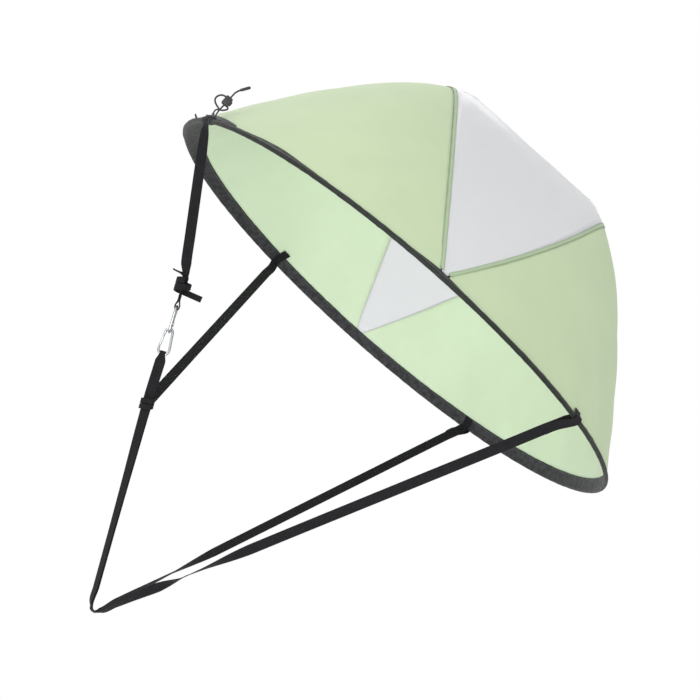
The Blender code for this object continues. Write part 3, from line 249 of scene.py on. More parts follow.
# noises are given as scale, detail and roughness, and bumps as strength and depth
# the inside colour is a lighter copy of the outside green: painted light that stands for light shining through
# the thin cloth
clothLook = {
    "outside": (0.548, 0.668, 0.420), "inside": (0.640, 0.775, 0.550), "tape": (0.400, 0.525, 0.325),
    "roughness": 0.62, "specular": 0.35, "sheen": 0.12, "sheenRoughness": 0.5,
    "threadPitch": 0.0011, "ripPitch": 0.0055, "ripPower": 24.0, "ripTint": 0.10,
    "cloud": (9.0,), "cloudTint": 0.9, "darkShare": 0.955, "lightShare": 1.035, "tintSpan": (0.2, 0.75),
    "crease": (14.0, 4.0), "creaseStretch": (1.0, 3.0, 1.0), "creaseTurn": 0.5,
    "bumps": ((0.35, 0.0016), (0.25, 0.00012), (0.3, 0.00012)),
}


def sailCloth(name, colour):
    # plain weave with a faint thicker thread every few millimetres
    look = clothLook
    paint, tree, shader = newMaterial(name, colour, look)
    space = patternSpace(tree, "UV")
    weave = crossedLines(tree, space, "MULTIPLY", look["threadPitch"])
    ripLine = mathOf(tree, "POWER", crossedLines(tree, space, "MAXIMUM", look["ripPitch"]), look["ripPower"])
    cloud = mathOf(tree, "MULTIPLY", noiseOf(tree, space, *look["cloud"]), look["cloudTint"])
    tint = mathOf(tree, "ADD", cloud, mathOf(tree, "MULTIPLY", ripLine, look["ripTint"]))
    dark = [channel * look["darkShare"] for channel in colour]
    light = [min(channel * look["lightShare"], 1.0) for channel in colour]
    colourBetween(tree, tint, dark, light, shader, *look["tintSpan"])
    slanted = patternSpace(tree, "UV", look["creaseStretch"], look["creaseTurn"])
    bumpStack(tree, shader, (noiseOf(tree, slanted, *look["crease"]), weave, ripLine), look["bumps"])
    return paint


vinylLook = {
    "colour": (0.86, 0.87, 0.89), "roughness": 0.16, "transmission": 0.35, "ior": 1.45,
    "leastRoughness": 0.08, "markRoughness": 0.24, "marks": (22.0, 5.0, 0.65),
    "wave": (5.0, 2.0), "waveStretch": (1.0, 2.4, 1.0), "waveTurn": 0.9, "bumps": ((0.3, 0.004), (0.1, 0.0004)),
}


def clearVinyl():
    # flexible clear sheet, a little milky, with handling marks
    look = vinylLook
    paint, tree, shader = newMaterial("windowVinyl", look["colour"], look)
    marks = noiseOf(tree, patternSpace(tree, "UV"), *look["marks"])
    dulled = mathOf(tree, "MULTIPLY", marks, look["markRoughness"])
    tree.links.new(mathOf(tree, "ADD", dulled, look["leastRoughness"]), shader.inputs["Roughness"])
    wave = noiseOf(tree, patternSpace(tree, "UV", look["waveStretch"], look["waveTurn"]), *look["wave"])
    bumpStack(tree, shader, (wave, marks), look["bumps"])
    return paint


gatheredLook = {
    "colour": (0.030, 0.030, 0.033), "roughness": 0.62, "specular": 0.35, "sheen": 0.06,
    "inner": ((0.010, 0.010, 0.012), (0.050, 0.051, 0.056)),
    # the outer pair is a darker copy of the same cloth, tinted green: painted shade on the leg outside the
    # sail, which the lamps light from above
    "outer": ((0.004, 0.006, 0.004), (0.014, 0.019, 0.013)),
    "creasesAndShade": (95.0, 4.0, 0.6), "fine": (420.0, 2.0), "tintSpan": (0.35, 0.75),
    "bumps": ((0.8, 0.0022), (0.3, 0.0003)),
}


def gatheredCloth(name, dark, light):
    # dark coated cloth of the sleeve, gathered in small creases; its colour follows the creases' height, with
    # painted highlights on the crests and painted shade in the hollows
    look = gatheredLook
    paint, tree, shader = newMaterial(name, look["colour"], look)
    space = patternSpace(tree, "Object")
    creasesAndShade, fine = noiseOf(tree, space, *look["creasesAndShade"]), noiseOf(tree, space, *look["fine"])
    # painted highlight and shade: lighter where the crinkles stand up, darker in their hollows
    colourBetween(tree, creasesAndShade, dark, light, shader, *look["tintSpan"])
    bumpStack(tree, shader, (creasesAndShade, fine), look["bumps"])
    return paint


webbingLook = {
    "colour": (0.0075, 0.0075, 0.0088), "roughness": 0.85, "specular": 0.15, "sheen": 0.05,
    "ribPitch": 0.0011, "linePitch": 0.00143, "lineDepth": 0.6, "worn": (60.0, 3.0), "wornTint": 0.5,
    "lightShare": 2.3, "tintSpan": (0.25, 0.8), "bumps": ((0.15, 0.0005), (0.5, 0.00025)),
}


def wovenBlack():
    # fine ribs across the webbing and a weave line along it
    look = webbingLook
    paint, tree, shader = newMaterial("webbingBlack", look["colour"], look)
    space = patternSpace(tree, "UV")
    ribs = waveLines(tree, space, "Y", look["ribPitch"])
    lines = mathOf(tree, "MULTIPLY", waveLines(tree, space, "X", look["linePitch"]), look["lineDepth"])
    weave = mathOf(tree, "MULTIPLY", ribs, mathOf(tree, "ADD", lines, 1 - look["lineDepth"]))
    worn = noiseOf(tree, space, *look["worn"])
    tone = mathOf(tree, "ADD", mathOf(tree, "MULTIPLY", weave, 1 - look["wornTint"]),
                  mathOf(tree, "MULTIPLY", worn, look["wornTint"]))
    light = [channel * look["lightShare"] for channel in look["colour"]]
    colourBetween(tree, tone, look["colour"], light, shader, *look["tintSpan"])
    bumpStack(tree, shader, (worn, weave), look["bumps"])
    return paint


braidLook = {
    "colour": (0.022, 0.022, 0.024), "roughness": 0.8, "sheen": 0.05, "slant": 0.7, "strandPitch": 0.0009,
    "dark": (0.012, 0.012, 0.013), "light": (0.050, 0.050, 0.054), "tintSpan": (0.2, 0.9),
    "bumps": ((0.9, 0.00025),),
}


def braidedBlack():
    # two sets of strands that cross round the cord
    look = braidLook
    paint, tree, shader = newMaterial("cordBraid", look["colour"], look)
    strands = [waveLines(tree, patternSpace(tree, "UV", turn=turn), "Y", look["strandPitch"])
               for turn in (look["slant"], -look["slant"])]
    braid = mathOf(tree, "MAXIMUM", *strands)
    colourBetween(tree, braid, look["dark"], look["light"], shader, *look["tintSpan"])
    bumpStack(tree, shader, (braid,), look["bumps"])
    return paint


metalLook = {
    "plated": {"colour": (0.40, 0.41, 0.43), "roughness": 0.22, "metallic": 1.0},
    "spring": {"colour": (0.52, 0.53, 0.55), "roughness": 0.28, "metallic": 1.0},
    "scuffs": (260.0, 4.0, 0.7), "scuffStretch": (1.0, 1.0, 6.0), "scuffRoughness": 0.18, "polish": 0.06,
    "bumps": ((0.08, 0.0002),),
}


def brightMetal(name, look):
    paint, tree, shader = newMaterial(name, look["colour"], look)
    scuffs = noiseOf(tree, patternSpace(tree, "Object", metalLook["scuffStretch"]), *metalLook["scuffs"])
    dulled = mathOf(tree, "MULTIPLY", scuffs, metalLook["scuffRoughness"])
    least = look["roughness"] - metalLook["polish"]
    tree.links.new(mathOf(tree, "ADD", dulled, least), shader.inputs["Roughness"])
    bumpStack(tree, shader, (scuffs,), metalLook["bumps"])
    return paint


plasticLook = {
    "colour": (0.022, 0.022, 0.024), "dark": (0.018, 0.018, 0.020), "light": (0.030, 0.030, 0.033),
    "roughness": 0.42, "grain": (900.0, 2.0), "stretch": (1.0, 1.0, 1.0), "bumps": ((0.25, 0.0001),),
}
rodLook = {
    "colour": (0.60, 0.58, 0.50), "dark": (0.52, 0.50, 0.42), "light": (0.66, 0.64, 0.56),
    "roughness": 0.45, "grain": (700.0, 3.0), "stretch": (1.0, 1.0, 0.2), "bumps": ((0.3, 0.0002),),
}


def grained(name, look):
    # moulded plastic's fine grain, or the long strands of a glass fibre rod
    paint, tree, shader = newMaterial(name, look["colour"], look)
    grain = noiseOf(tree, patternSpace(tree, "Object", look["stretch"]), *look["grain"])
    colourBetween(tree, grain, look["dark"], look["light"], shader)
    bumpStack(tree, shader, (grain,), look["bumps"])
    return paint


threadLook = {
    "width": 0.0004, "threadShare": 0.68, "bump": (0.9, 0.0003),
    "tape": {"lines": (-0.0026, 0.0026), "pitch": 0.0030, "colour": (0.33, 0.45, 0.26)},
    "sleeve": {"lines": (0.003, 0.0505), "pitch": 0.0032, "colour": (0.11, 0.11, 0.12)},
    "patch": {"lines": (0.0025,), "pitch": 0.0032, "colour": (0.11, 0.11, 0.12)},
}


def stitchMask(tree, space, lines, pitch):
    # short threads one after another along lines at these distances across the strip
    parts = tree.nodes.new("ShaderNodeSeparateXYZ")
    tree.links.new(space, parts.inputs[0])
    along = mathOf(tree, "FRACT", mathOf(tree, "DIVIDE", parts.outputs["Y"], pitch))
    thread = mathOf(tree, "LESS_THAN", along, threadLook["threadShare"])
    found = 0.0
    for place in lines:
        off = mathOf(tree, "ABSOLUTE", mathOf(tree, "SUBTRACT", parts.outputs["X"], place))
        found = mathOf(tree, "MAXIMUM", mathOf(tree, "LESS_THAN", off, threadLook["width"]), found)
    return mathOf(tree, "MULTIPLY", found, thread)


def stitched(paint, seam):
    # lays raised threads of their own colour over what already feeds the shader
    tree = paint.node_tree
    shader = tree.nodes["Principled BSDF"]
    mask = stitchMask(tree, patternSpace(tree, "UV"), seam["lines"], seam["pitch"])
    mix = tree.nodes.new("ShaderNodeMix")
    mix.data_type = "RGBA"
    tree.links.new(mask, mix.inputs["Factor"])
    tree.links.new(shader.inputs["Base Color"].links[0].from_socket, mix.inputs[6])
    mix.inputs[7].default_value = (*seam["colour"], 1.0)
    tree.links.new(mix.outputs[2], shader.inputs["Base Color"])
    bumpStack(tree, shader, (mask,), (threadLook["bump"],))
    return paint


finishes = {
    "outside": sailCloth("sailOutside", clothLook["outside"]),
    # painted light: the inner faces take the lighter inside copy of the cloth, for light that shines through it
    "inside": sailCloth("sailInsideLitThrough", clothLook["inside"]),
    "tape": stitched(sailCloth("seamTape", clothLook["tape"]), threadLook["tape"]),
    "window": clearVinyl(),
    # painted shade: the leg outside the sail takes the darker copy of the sleeve cloth
    "sleeveOutsideShaded": gatheredCloth("sleeveOutsideShadedCloth", *gatheredLook["outer"]),
    "sleeve": stitched(gatheredCloth("sleeveCloth", *gatheredLook["inner"]), threadLook["sleeve"]),
    "patch": stitched(gatheredCloth("patchCloth", *gatheredLook["inner"]), threadLook["patch"]),
    "webbing": wovenBlack(),
    "braid": braidedBlack(),
    "plated": brightMetal("platedSteel", metalLook["plated"]),
    "spring": brightMetal("springSteel", metalLook["spring"]),
    "lock": grained("lockPlastic", plasticLook),
    "rod": grained("rodGlassFibre", rodLook),
}
print("finishes mixed")


# the dome's form, in the sail's own axes
def toWorld(point):
    return sailAxes @ Vector(point)


def planAt(deg, reach):
    angle = math.radians(deg)
    return reach * math.cos(angle), reach * math.sin(angle)


def domeHeight(x, y):
    radius, ridgeHalf = sail["hoopRadius"], sail["ridgeHalf"]
    keel = 0.0
    if abs(x) <= ridgeHalf * (1 - abs(y) / radius):
        share = min(abs(y) / radius, 1.0)
    else:
        apex = math.copysign(ridgeHalf, x)
        run = max(math.hypot(x - apex, y), tiny)
        rayX = (x - apex) / run
        along = apex * rayX
        span = math.sqrt(along ** 2 + radius ** 2 - ridgeHalf ** 2) - along
        share = min(run / span, 1.0)
        keel = ((apex + span * rayX) / radius) ** 2
    power = sail["sidePower"] + (sail["keelPower"] - sail["sidePower"]) * keel
    return sail["domeHeight"] * (1 - share ** power)


def skin(x, y, lift=0.0):
    # a point on the dome, or off it along its normal
    step = sail["skinStep"]
    riseX = (domeHeight(x + step, y) - domeHeight(x - step, y)) / (2 * step)
    riseY = (domeHeight(x, y + step) - domeHeight(x, y - step)) / (2 * step)
    normal = Vector((-riseX, -riseY, 1)).normalized()
    return Vector((x, y, domeHeight(x, y))) + normal * lift


def rimSlope(deg):
    inner = sail["hoopRadius"] - sail["rimStep"]
    return math.atan2(domeHeight(*planAt(deg, inner)), sail["rimStep"])


def rowReach(deg, row):
    # plan radius of a place that is so far up the cloth from the hoop
    return sail["hoopRadius"] - row * math.cos(rimSlope(deg))


def rowPoint(deg, row, lift=0.0):
    return skin(*planAt(deg, rowReach(deg, row)), lift)


def hoopPoint(deg):
    return Vector((*planAt(deg, sail["hoopRadius"]), 0))


def rimAxes(deg):
    # directions up the cloth and off the cloth at the hoop
    slope = rimSlope(deg)
    radial = Vector((*planAt(deg, 1), 0))
    climb = Vector((0, 0, math.sin(slope))) - radial * math.cos(slope)
    normal = Vector((0, 0, math.cos(slope))) + radial * math.sin(slope)
    return climb, normal


def rimPlace(deg, climbBy, lift):
    climb, normal = rimAxes(deg)
    return hoopPoint(deg) + climb * climbBy + normal * lift


def rimTangent(deg, side):
    # direction along the hoop, on the side that a strap's width points to
    angle = math.radians(deg)
    tangent = Vector((-math.sin(angle), math.cos(angle), 0))
    return -tangent if tangent.dot(side) < 0 else tangent


def seamX(y, side):
    share = min(abs(y) / sail["hoopRadius"], 1.0)
    bow = sail["leftBow"] if side < 0 else sail["rightBow"]
    return side * (1 - share) * (sail["cornerOffset"] + 4 * bow * share)


def seamDeg(row, side, end):
    reach = rowReach(90, row)
    return end * (90 - side * math.degrees(math.atan2(abs(seamX(reach, side)), reach)))


def halfTurned(deg):
    return (deg + 180) % 360 - 180


# cloth helpers
def gridMesh(name, grid, uvs, materials, capped=False):
    # a sheet from like columns of points, with its flat map in metres
    shell = bmesh.new()
    flat = shell.loops.layers.uv.new("flat")
    rings = [[shell.verts.new(toWorld(point)) for point in column] for column in grid]
    for a in range(len(rings) - 1):
        for row in range(len(rings[0]) - 1):
            face = shell.faces.new((rings[a][row], rings[a + 1][row], rings[a + 1][row + 1], rings[a][row + 1]))
            face.smooth = True
            places = (uvs[a][row], uvs[a + 1][row], uvs[a + 1][row + 1], uvs[a][row + 1])
            for loop, place in zip(face.loops, places):
                loop[flat].uv = place
    if capped:
        shell.faces.new(rings[0][:-1])
        shell.faces.new(rings[-1][-2::-1])
    bmesh.ops.remove_doubles(shell, verts=shell.verts, dist=weld)
    if capped:
        bmesh.ops.recalc_face_normals(shell, faces=shell.faces)
    mesh = bpy.data.meshes.new(name)
    shell.to_mesh(mesh)
    shell.free()
    piece = bpy.data.objects.new(name, mesh)
    bpy.context.scene.collection.objects.link(piece)
    for paint in materials:
        mesh.materials.append(paint)
    return piece


def choose(piece):
    bpy.ops.object.select_all(action="DESELECT")
    bpy.context.view_layer.objects.active = piece
    piece.select_set(True)


def applyModifiers(piece):
    choose(piece)
    for step in list(piece.modifiers):
        bpy.ops.object.modifier_apply(modifier=step.name)
    piece.select_set(False)


def thicken(piece, thickness, innerSlot=0):
    wall = piece.modifiers.new("thickness", "SOLIDIFY")
    wall.thickness = thickness
    wall.offset = 0.0
    wall.material_offset = innerSlot
    wall.use_even_offset = False
    applyModifiers(piece)


def facesOutward(piece):
    # turns a sheet over whose faces look towards the hoop's middle
    middle = toWorld((0, 0, 0))
    if sum(face.normal.dot(face.center - middle) * face.area for face in piece.data.polygons) < 0:
        piece.data.flip_normals()


def ripple(place, scale, seed):
    return noise.noise(Vector((place.x * scale + seed, place.y * scale - seed, place.z * scale)))


def fadeIn(gap, flat, rise):
    # nothing until the gap passes a flat border, then up to one
    return min(1.0, max(gap - flat, 0.0) / rise)


def dress(piece, node, body="sail", stands=True):
    # an extra that stands for no node of its own leaves that node shown and only joins the body
    if stands:
        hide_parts(node)
    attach(piece, body)


# the two green panels; a ripple's numbers are its scale and its seed
panelShape = {
    "columns": 150, "rows": 26, "wall": 0.0005, "endCrowding": 0.06,
    "bandHeight": 0.0011, "bandWaves": 17, "bandCentre": 0.27, "bandFade": 0.17,
    "puckerHeight": 0.0009, "seamWaves": 205, "seamSway": 2.0, "seamRipple": (6.0, 3.1), "seamFade": 0.018,
    "seamShare": 0.5, "rimWaves": 62, "rimSway": 3, "rimSwayWaves": 5, "rimFade": 0.03, "rimRipple": (5.0, 8.7),
    "softHeight": 0.0012, "softRipple": (7.5, 4.4), "seamBorder": (0.004, 0.008), "rimBorder": (0.014, 0.02),
}


def tensionBands(x, y, side):
    # shallow folds that fan out from the hoop's end of the keel, and puckers along the seam and the hoop
    shape, place = panelShape, Vector((x, y, 0))
    ray = Vector((x, y)) - Vector((side * sail["hoopRadius"], 0.0))
    fan = math.sin(math.atan2(ray.y, abs(ray.x)) * shape["bandWaves"] + side)
    fan *= math.exp(-((ray.length - shape["bandCentre"]) / shape["bandFade"]) ** 2)
    seamGap = abs(seamX(y, side) - x)
    pucker = math.sin(y * shape["seamWaves"] + shape["seamSway"] * ripple(place, *shape["seamRipple"]))
    pucker *= math.exp(-seamGap / shape["seamFade"])
    rimGap = sail["hoopRadius"] - math.hypot(x, y)
    angle = math.atan2(y, x)
    gather = math.sin(angle * shape["rimWaves"] + shape["rimSway"] * math.sin(angle * shape["rimSwayWaves"]))
    gather *= math.exp(-rimGap / shape["rimFade"])
    lively = 0.5 + ripple(place, *shape["rimRipple"])
    soft = shape["softHeight"] * ripple(place, *shape["softRipple"])
    lift = shape["bandHeight"] * fan + shape["puckerHeight"] * (pucker * shape["seamShare"] + gather * lively)
    return (lift + soft) * fadeIn(seamGap, *shape["seamBorder"]) * fadeIn(rimGap, *shape["rimBorder"])


def makePanel(name, side, body):
    columns, flats = [], []
    first = seamDeg(sail["bandRow"], side, 1)
    last = seamDeg(sail["bandRow"], side, -1)
    sweep = last - first if side > 0 else last + 360 - first
    for k in range(panelShape["columns"] + 1):
        # closer columns near both ends of the seam
        share = k / panelShape["columns"]
        share -= panelShape["endCrowding"] * math.sin(math.tau * share)
        deg = first + sweep * share
        column = [rowPoint(deg, row) for row in sail["hemRows"]]
        x, y = planAt(deg, rowReach(deg, sail["bandRow"]))
        seam = seamX(y, side) if 0 < k < panelShape["columns"] else x
        for row in range(panelShape["rows"] + 1):
            place = x + (seam - x) * row / panelShape["rows"]
            column.append(skin(place, y, tensionBands(place, y, side)))
        columns.append(column)
        flats.append([(point.x, point.y) for point in column])
    piece = gridMesh(name, columns, flats, (finishes["outside"], finishes["inside"]))
    facesOutward(piece)
    thicken(piece, panelShape["wall"], 1)
    dress(piece, body)
    return piece


leftCloth = makePanel("leftCloth", -1, "left_panel")
rightCloth = makePanel("rightCloth", 1, "right_panel")
print("green panels sewn")


# the window, one clear sheet over the ridge from hoop to hoop
windowShape = {
    "rows": 150, "columns": 22, "wall": 0.0004, "waveHeight": 0.0013, "waves": 34, "sway": 2.3,
    "swayRipple": (3.0, 5.5), "waveRipple": (5.0, 1.7), "seamBorder": (0.004, 0.01),
}


def windowWave(x, y):
    share = min(abs(y) / sail["hoopRadius"], 1.0)
    sway = windowShape["sway"] * ripple(Vector((x, y, 1)), *windowShape["swayRipple"])
    wave = math.sin(x * windowShape["waves"] + sway) * ripple(Vector((x, y, 2)), *windowShape["waveRipple"])
    return windowShape["waveHeight"] * wave * (1 - share)


def makeWindow():
    ends = []
    for end in (1, -1):
        block = []
        for row in sail["hemRows"]:
            left, right = seamDeg(row, -1, end), seamDeg(row, 1, end)
            block.append([rowPoint(left + (right - left) * k / windowShape["columns"], row)
                          for k in range(windowShape["columns"] + 1)])
        ends.append(block)
    middle = []
    topY = rowReach(90, sail["bandRow"])
    for k in range(windowShape["rows"] + 1):
        y = topY * math.cos(math.pi * k / windowShape["rows"])
        left, right = seamX(y, -1), seamX(y, 1)
        line = []
        for column in range(windowShape["columns"] + 1):
            place = left + (right - left) * column / windowShape["columns"]
            edge = fadeIn(min(place - left, right - place), *windowShape["seamBorder"])
            line.append(skin(place, y, windowWave(place, y) * edge))
        middle.append(line)
    rows = ends[0] + middle + ends[1][::-1]
    flats = [[(point.x, point.y) for point in row] for row in rows]
    piece = gridMesh("windowSheet", rows, flats, (finishes["window"],))
    facesOutward(piece)
    thicken(piece, windowShape["wall"])
    dress(piece, "window_panel")
    return piece


windowPiece = makeWindow()
print("window set in")


# stitched tape over both window seams
tapeShape = {
    "half": 0.0036, "lift": 0.00120, "wall": 0.0005, "across": 6, "rows": 220, "endRows": 6,
    "footNear": 0.62, "footFar": 0.15, "uneven": 0.05, "unevenRipple": (40.0, 2.2), "climbShare": 0.5,
    "puckerHeight": 0.00022, "puckerWaves": 780, "puckerSlant": 500,
    "creaseHeight": 0.0004, "creaseRipple": (60.0, 9.0), "creaseStretch": 9,
}


def seamLine(side):
    # plan points from the far end of a seam to its near end
    far, near = [], []
    for block, end, foot in ((far, 1, tapeShape["footFar"]), (near, -1, tapeShape["footNear"])):
        start = sail["hemRow"] + (sail["bandRow"] - sail["hemRow"]) * foot
        for k in range(tapeShape["endRows"]):
            row = start + (sail["bandRow"] - start) * k / tapeShape["endRows"]
            deg = seamDeg(row, side, end)
            block.append(planAt(deg, rowReach(deg, row)))
    top = rowReach(90, sail["bandRow"])
    across = [top * (1 - 2 * k / tapeShape["rows"]) for k in range(tapeShape["rows"] + 1)]
    return far + [(seamX(y, side), y) for y in across] + near[::-1]


def makeTape(name, side, node):
    line = seamLine(side)
    rows, flats, along, last = [], [], 0.0, line[0]
    for k, (x, y) in enumerate(line):
        before, after = line[max(k - 2, 0)], line[min(k + 2, len(line) - 1)]
        heading = Vector((after[0] - before[0], after[1] - before[1])).normalized()
        along += math.dist(last, (x, y)) + tapeShape["climbShare"] * abs(domeHeight(x, y) - domeHeight(*last))
        last = (x, y)
        row, flat = [], []
        for step in range(tapeShape["across"] + 1):
            off = tapeShape["half"] * (2 * step / tapeShape["across"] - 1)
            off *= 1 + tapeShape["uneven"] * ripple(Vector((x, y, 0)), *tapeShape["unevenRipple"])
            pucker = math.sin(along * tapeShape["puckerWaves"] + off * tapeShape["puckerSlant"])
            crease = ripple(Vector((x, y, off * tapeShape["creaseStretch"])), *tapeShape["creaseRipple"])
            lift = tapeShape["puckerHeight"] * pucker + tapeShape["creaseHeight"] * crease
            row.append(skin(x + heading.y * off, y - heading.x * off, tapeShape["lift"] + lift))
            flat.append((off, along))
        rows.append(row)
        flats.append(flat)
    piece = gridMesh(name, rows, flats, (finishes["tape"],))
    facesOutward(piece)
    thicken(piece, tapeShape["wall"])
    dress(piece, node)


makeTape("leftSeamTape", -1, "left_seam_tape")
makeTape("rightSeamTape", 1, "right_seam_tape")
print("seams taped")


# crinkled sleeve round the hoop, with one leg inside the sail and one outside; the outside leg takes a darker
# copy of the cloth, as painted shade
sleeveShape = {
    "columns": 576, "wall": 0.0006, "legLift": 0.00125, "crinkle": 0.0011, "edgeCrinkle": 0.25,
    "innerSteps": 8, "innerShare": 0.93, "innerUneven": 0.0008, "innerRipple": (70.0, 1.0), "innerSeed": 2.0,
    "endDeg": -170.0, "endSpread": 17.0, "endReach": 0.034, "endUneven": 0.003, "endRipple": (60.0, 9.0),
    "pocketSteps": 10, "pocketDegs": (-60, -300), "pocket": 0.0038, "pocketSwell": 0.0015, "swellSpread": 6.0,
    "pocketCrinkle": 0.0006, "pocketDent": -0.0002, "pocketSeed": 4.0, "pocketFlat": (0.021, 0.0017),
    "outerSteps": 6, "outerShare": 0.02, "outerUneven": 0.05, "outerRipple": (24.0, 6.0), "outerSeed": 5.0,
    "outerStart": 0.0045, "outerEdge": 0.0012, "outerFlat": 0.0535, "outerQuad": 13,
    "wideShare": 0.5, "wideDegs": ((-131.0, 8.0), (-91.0, 5.0)),
}


def outerLegShare(deg):
    wide = max(math.exp(-((halfTurned(deg) - centre) / spread) ** 2)
               for centre, spread in sleeveShape["wideDegs"])
    uneven = sleeveShape["outerUneven"] * ripple(hoopPoint(deg), *sleeveShape["outerRipple"])
    return sleeveShape["outerShare"] + (sleeveShape["wideShare"] - sleeveShape["outerShare"]) * wide + uneven


# crinkles of three sizes: scale, step of the seed and share of the height, over an even level
crinkles = {"level": 0.55, "sizes": ((130.0, 0, 0.6), (290.0, 3, 0.3), (48.0, 7, 0.5))}


def crinkleAt(place, amount, seed):
    heights = (share * ripple(place, scale, seed + step) for scale, step, share in crinkles["sizes"])
    return amount * (crinkles["level"] + sum(heights))


def legOut(place, seed, atEdge):
    # how far a leg of the sleeve stands off the cloth, less at its stitched edge
    out = max(crinkleAt(place, sleeveShape["crinkle"], seed), 0.0)
    return sleeveShape["legLift"] + out * (sleeveShape["edgeCrinkle"] if atEdge else 1.0)


def innerLeg(deg, centre):
    shape = sleeveShape
    reach = (sail["bandRow"] - sail["hemRow"]) * shape["innerShare"]
    reach += shape["innerUneven"] * ripple(centre, *shape["innerRipple"])
    fromEnd = halfTurned(deg - shape["endDeg"]) / shape["endSpread"]
    wider = shape["endReach"] + shape["endUneven"] * ripple(centre, *shape["endRipple"])
    reach += wider * math.exp(-fromEnd ** 2)
    column, flat = [], []
    for k in range(shape["innerSteps"] + 1):
        row = sail["hemRow"] + reach * (1 - k / shape["innerSteps"])
        column.append(rowPoint(deg, row, -legOut(rowPoint(deg, row), shape["innerSeed"], k == 0)))
        flat.append(reach * k / shape["innerSteps"])
    return column, flat


def sleevePocket(deg, centre):
    shape = sleeveShape
    climb, normal = rimAxes(deg)
    swell = shape["pocketSwell"] * math.exp(-((180 - abs(halfTurned(deg))) / shape["swellSpread"]) ** 4)
    first, last = shape["pocketDegs"]
    column, flat = [], []
    for k in range(shape["pocketSteps"] + 1):
        turn = math.radians(first + (last - first) * k / shape["pocketSteps"])
        away = climb * math.cos(turn) + normal * math.sin(turn)
        reach = shape["pocket"] + swell
        crinkle = crinkleAt(centre + away * reach, shape["pocketCrinkle"], shape["pocketSeed"])
        column.append(centre + away * (reach + max(crinkle, shape["pocketDent"])))
        flat.append(shape["pocketFlat"][0] + shape["pocketFlat"][1] * k)
    return column, flat


def outerLeg(deg):
    shape = sleeveShape
    reach = (sail["bandRow"] - sail["hemRow"]) * outerLegShare(deg) + shape["outerEdge"]
    column, flat = [], []
    for k in range(1, shape["outerSteps"] + 1):
        row = shape["outerStart"] + reach * k / shape["outerSteps"]
        atEdge = k == shape["outerSteps"]
        column.append(rowPoint(deg, row, legOut(rowPoint(deg, row), shape["outerSeed"], atEdge)))
        flat.append(shape["outerFlat"] - reach * (shape["outerSteps"] - k) / shape["outerSteps"])
    return column, flat


def makeSleeve():
    columns, flats = [], []
    for k in range(sleeveShape["columns"] + 1):
        deg = -180 + 360 * (k % sleeveShape["columns"]) / sleeveShape["columns"]
        centre = hoopPoint(deg)
        parts = (innerLeg(deg, centre), sleevePocket(deg, centre), outerLeg(deg))
        columns.append([point for column, flat in parts for point in column])
        around = math.tau * sail["hoopRadius"] * k / sleeveShape["columns"]
        flats.append([(across, around) for column, flat in parts for across in flat])
    piece = gridMesh("rimSleeve", columns, flats, (finishes["sleeve"], finishes["sleeveOutsideShaded"]))
    quads = len(columns[0]) - 1
    # the faces of the outer leg take the darker copy, painted shade
    for face in piece.data.polygons:
        face.material_index = int(face.index % quads >= sleeveShape["outerQuad"])
    thicken(piece, sleeveShape["wall"])
    dress(piece, "rim_sleeve")


makeSleeve()
print("sleeve gathered")


# wide patch at the hoop's end, on the sail's outside
patchShape = {
    "startDeg": 145.0, "endDeg": 215.0, "columns": 168, "rows": 12, "lift": 0.0016, "wall": 0.0006,
    "foot": -0.38, "reachShare": 0.42, "endReach": -0.15, "bulgePower": 0.7, "beyondBand": 0.060,
    "uneven": 0.04, "unevenRipple": (60.0, 12.0), "crinkle": 0.0012, "crinkleSeed": 8.0, "edgeCrinkle": 0.3,
    "flatDepth": 0.015,
}


def patchReach(deg, share):
    bulge = math.sin(math.pi * share) ** patchShape["bulgePower"] if 0 < share < 1 else 0.0
    furthest = 1 + patchShape["reachShare"]
    uneven = patchShape["uneven"] * ripple(hoopPoint(deg), *patchShape["unevenRipple"])
    return patchShape["endReach"] + (furthest - patchShape["endReach"]) * bulge + uneven


def makePatch():
    columns, flats = [], []
    for k in range(patchShape["columns"] + 1):
        share = k / patchShape["columns"]
        deg = patchShape["startDeg"] + (patchShape["endDeg"] - patchShape["startDeg"]) * share
        reach = patchReach(deg, share)
        column, flat = [], []
        for row in range(patchShape["rows"] + 1):
            at = patchShape["foot"] + (reach - patchShape["foot"]) * row / patchShape["rows"]
            depth = sail["hemRow"] + (sail["bandRow"] - sail["hemRow"]) * at
            if at > 1:
                depth = sail["bandRow"] + (at - 1) * patchShape["beyondBand"]
            out = max(crinkleAt(rowPoint(deg, depth), patchShape["crinkle"], patchShape["crinkleSeed"]), 0.0)
            out *= patchShape["edgeCrinkle"] if row in (0, patchShape["rows"]) else 1.0
            column.append(rowPoint(deg, depth, patchShape["lift"] + out))
            flat.append((patchShape["flatDepth"] * (reach - at), math.radians(deg) * sail["hoopRadius"]))
        columns.append(column)
        flats.append(flat)
    piece = gridMesh("endPatch", columns, flats, (finishes["patch"],))
    facesOutward(piece)
    thicken(piece, patchShape["wall"])
    dress(piece, "end_patch")


makePatch()
print("patch laid")


# webbing
def smoothPath(keys, counts):
    # a smooth line through keys that are unevenly far apart
    spans = [max((b - a).length, tiny) for a, b in zip(keys, keys[1:])]
    rates = [(b - a) / span for a, b, span in zip(keys, keys[1:], spans)]
    slopes = [rates[0]]
    for index in range(1, len(spans)):
        back, ahead = spans[index - 1], spans[index]
        slopes.append((rates[index - 1] * ahead + rates[index] * back) / (back + ahead))
    slopes.append(rates[-1])
    line = []
    for index, count in enumerate(counts):
        start, end, span = keys[index], keys[index + 1], spans[index]
        for step in range(count):
            t = step / count
            square, cube = t * t, t * t * t
            line.append(start * (2 * cube - 3 * square + 1) + slopes[index] * span * (cube - 2 * square + t)
                        + end * (3 * square - 2 * cube) + slopes[index + 1] * span * (cube - square))
    line.append(keys[-1])
    return line


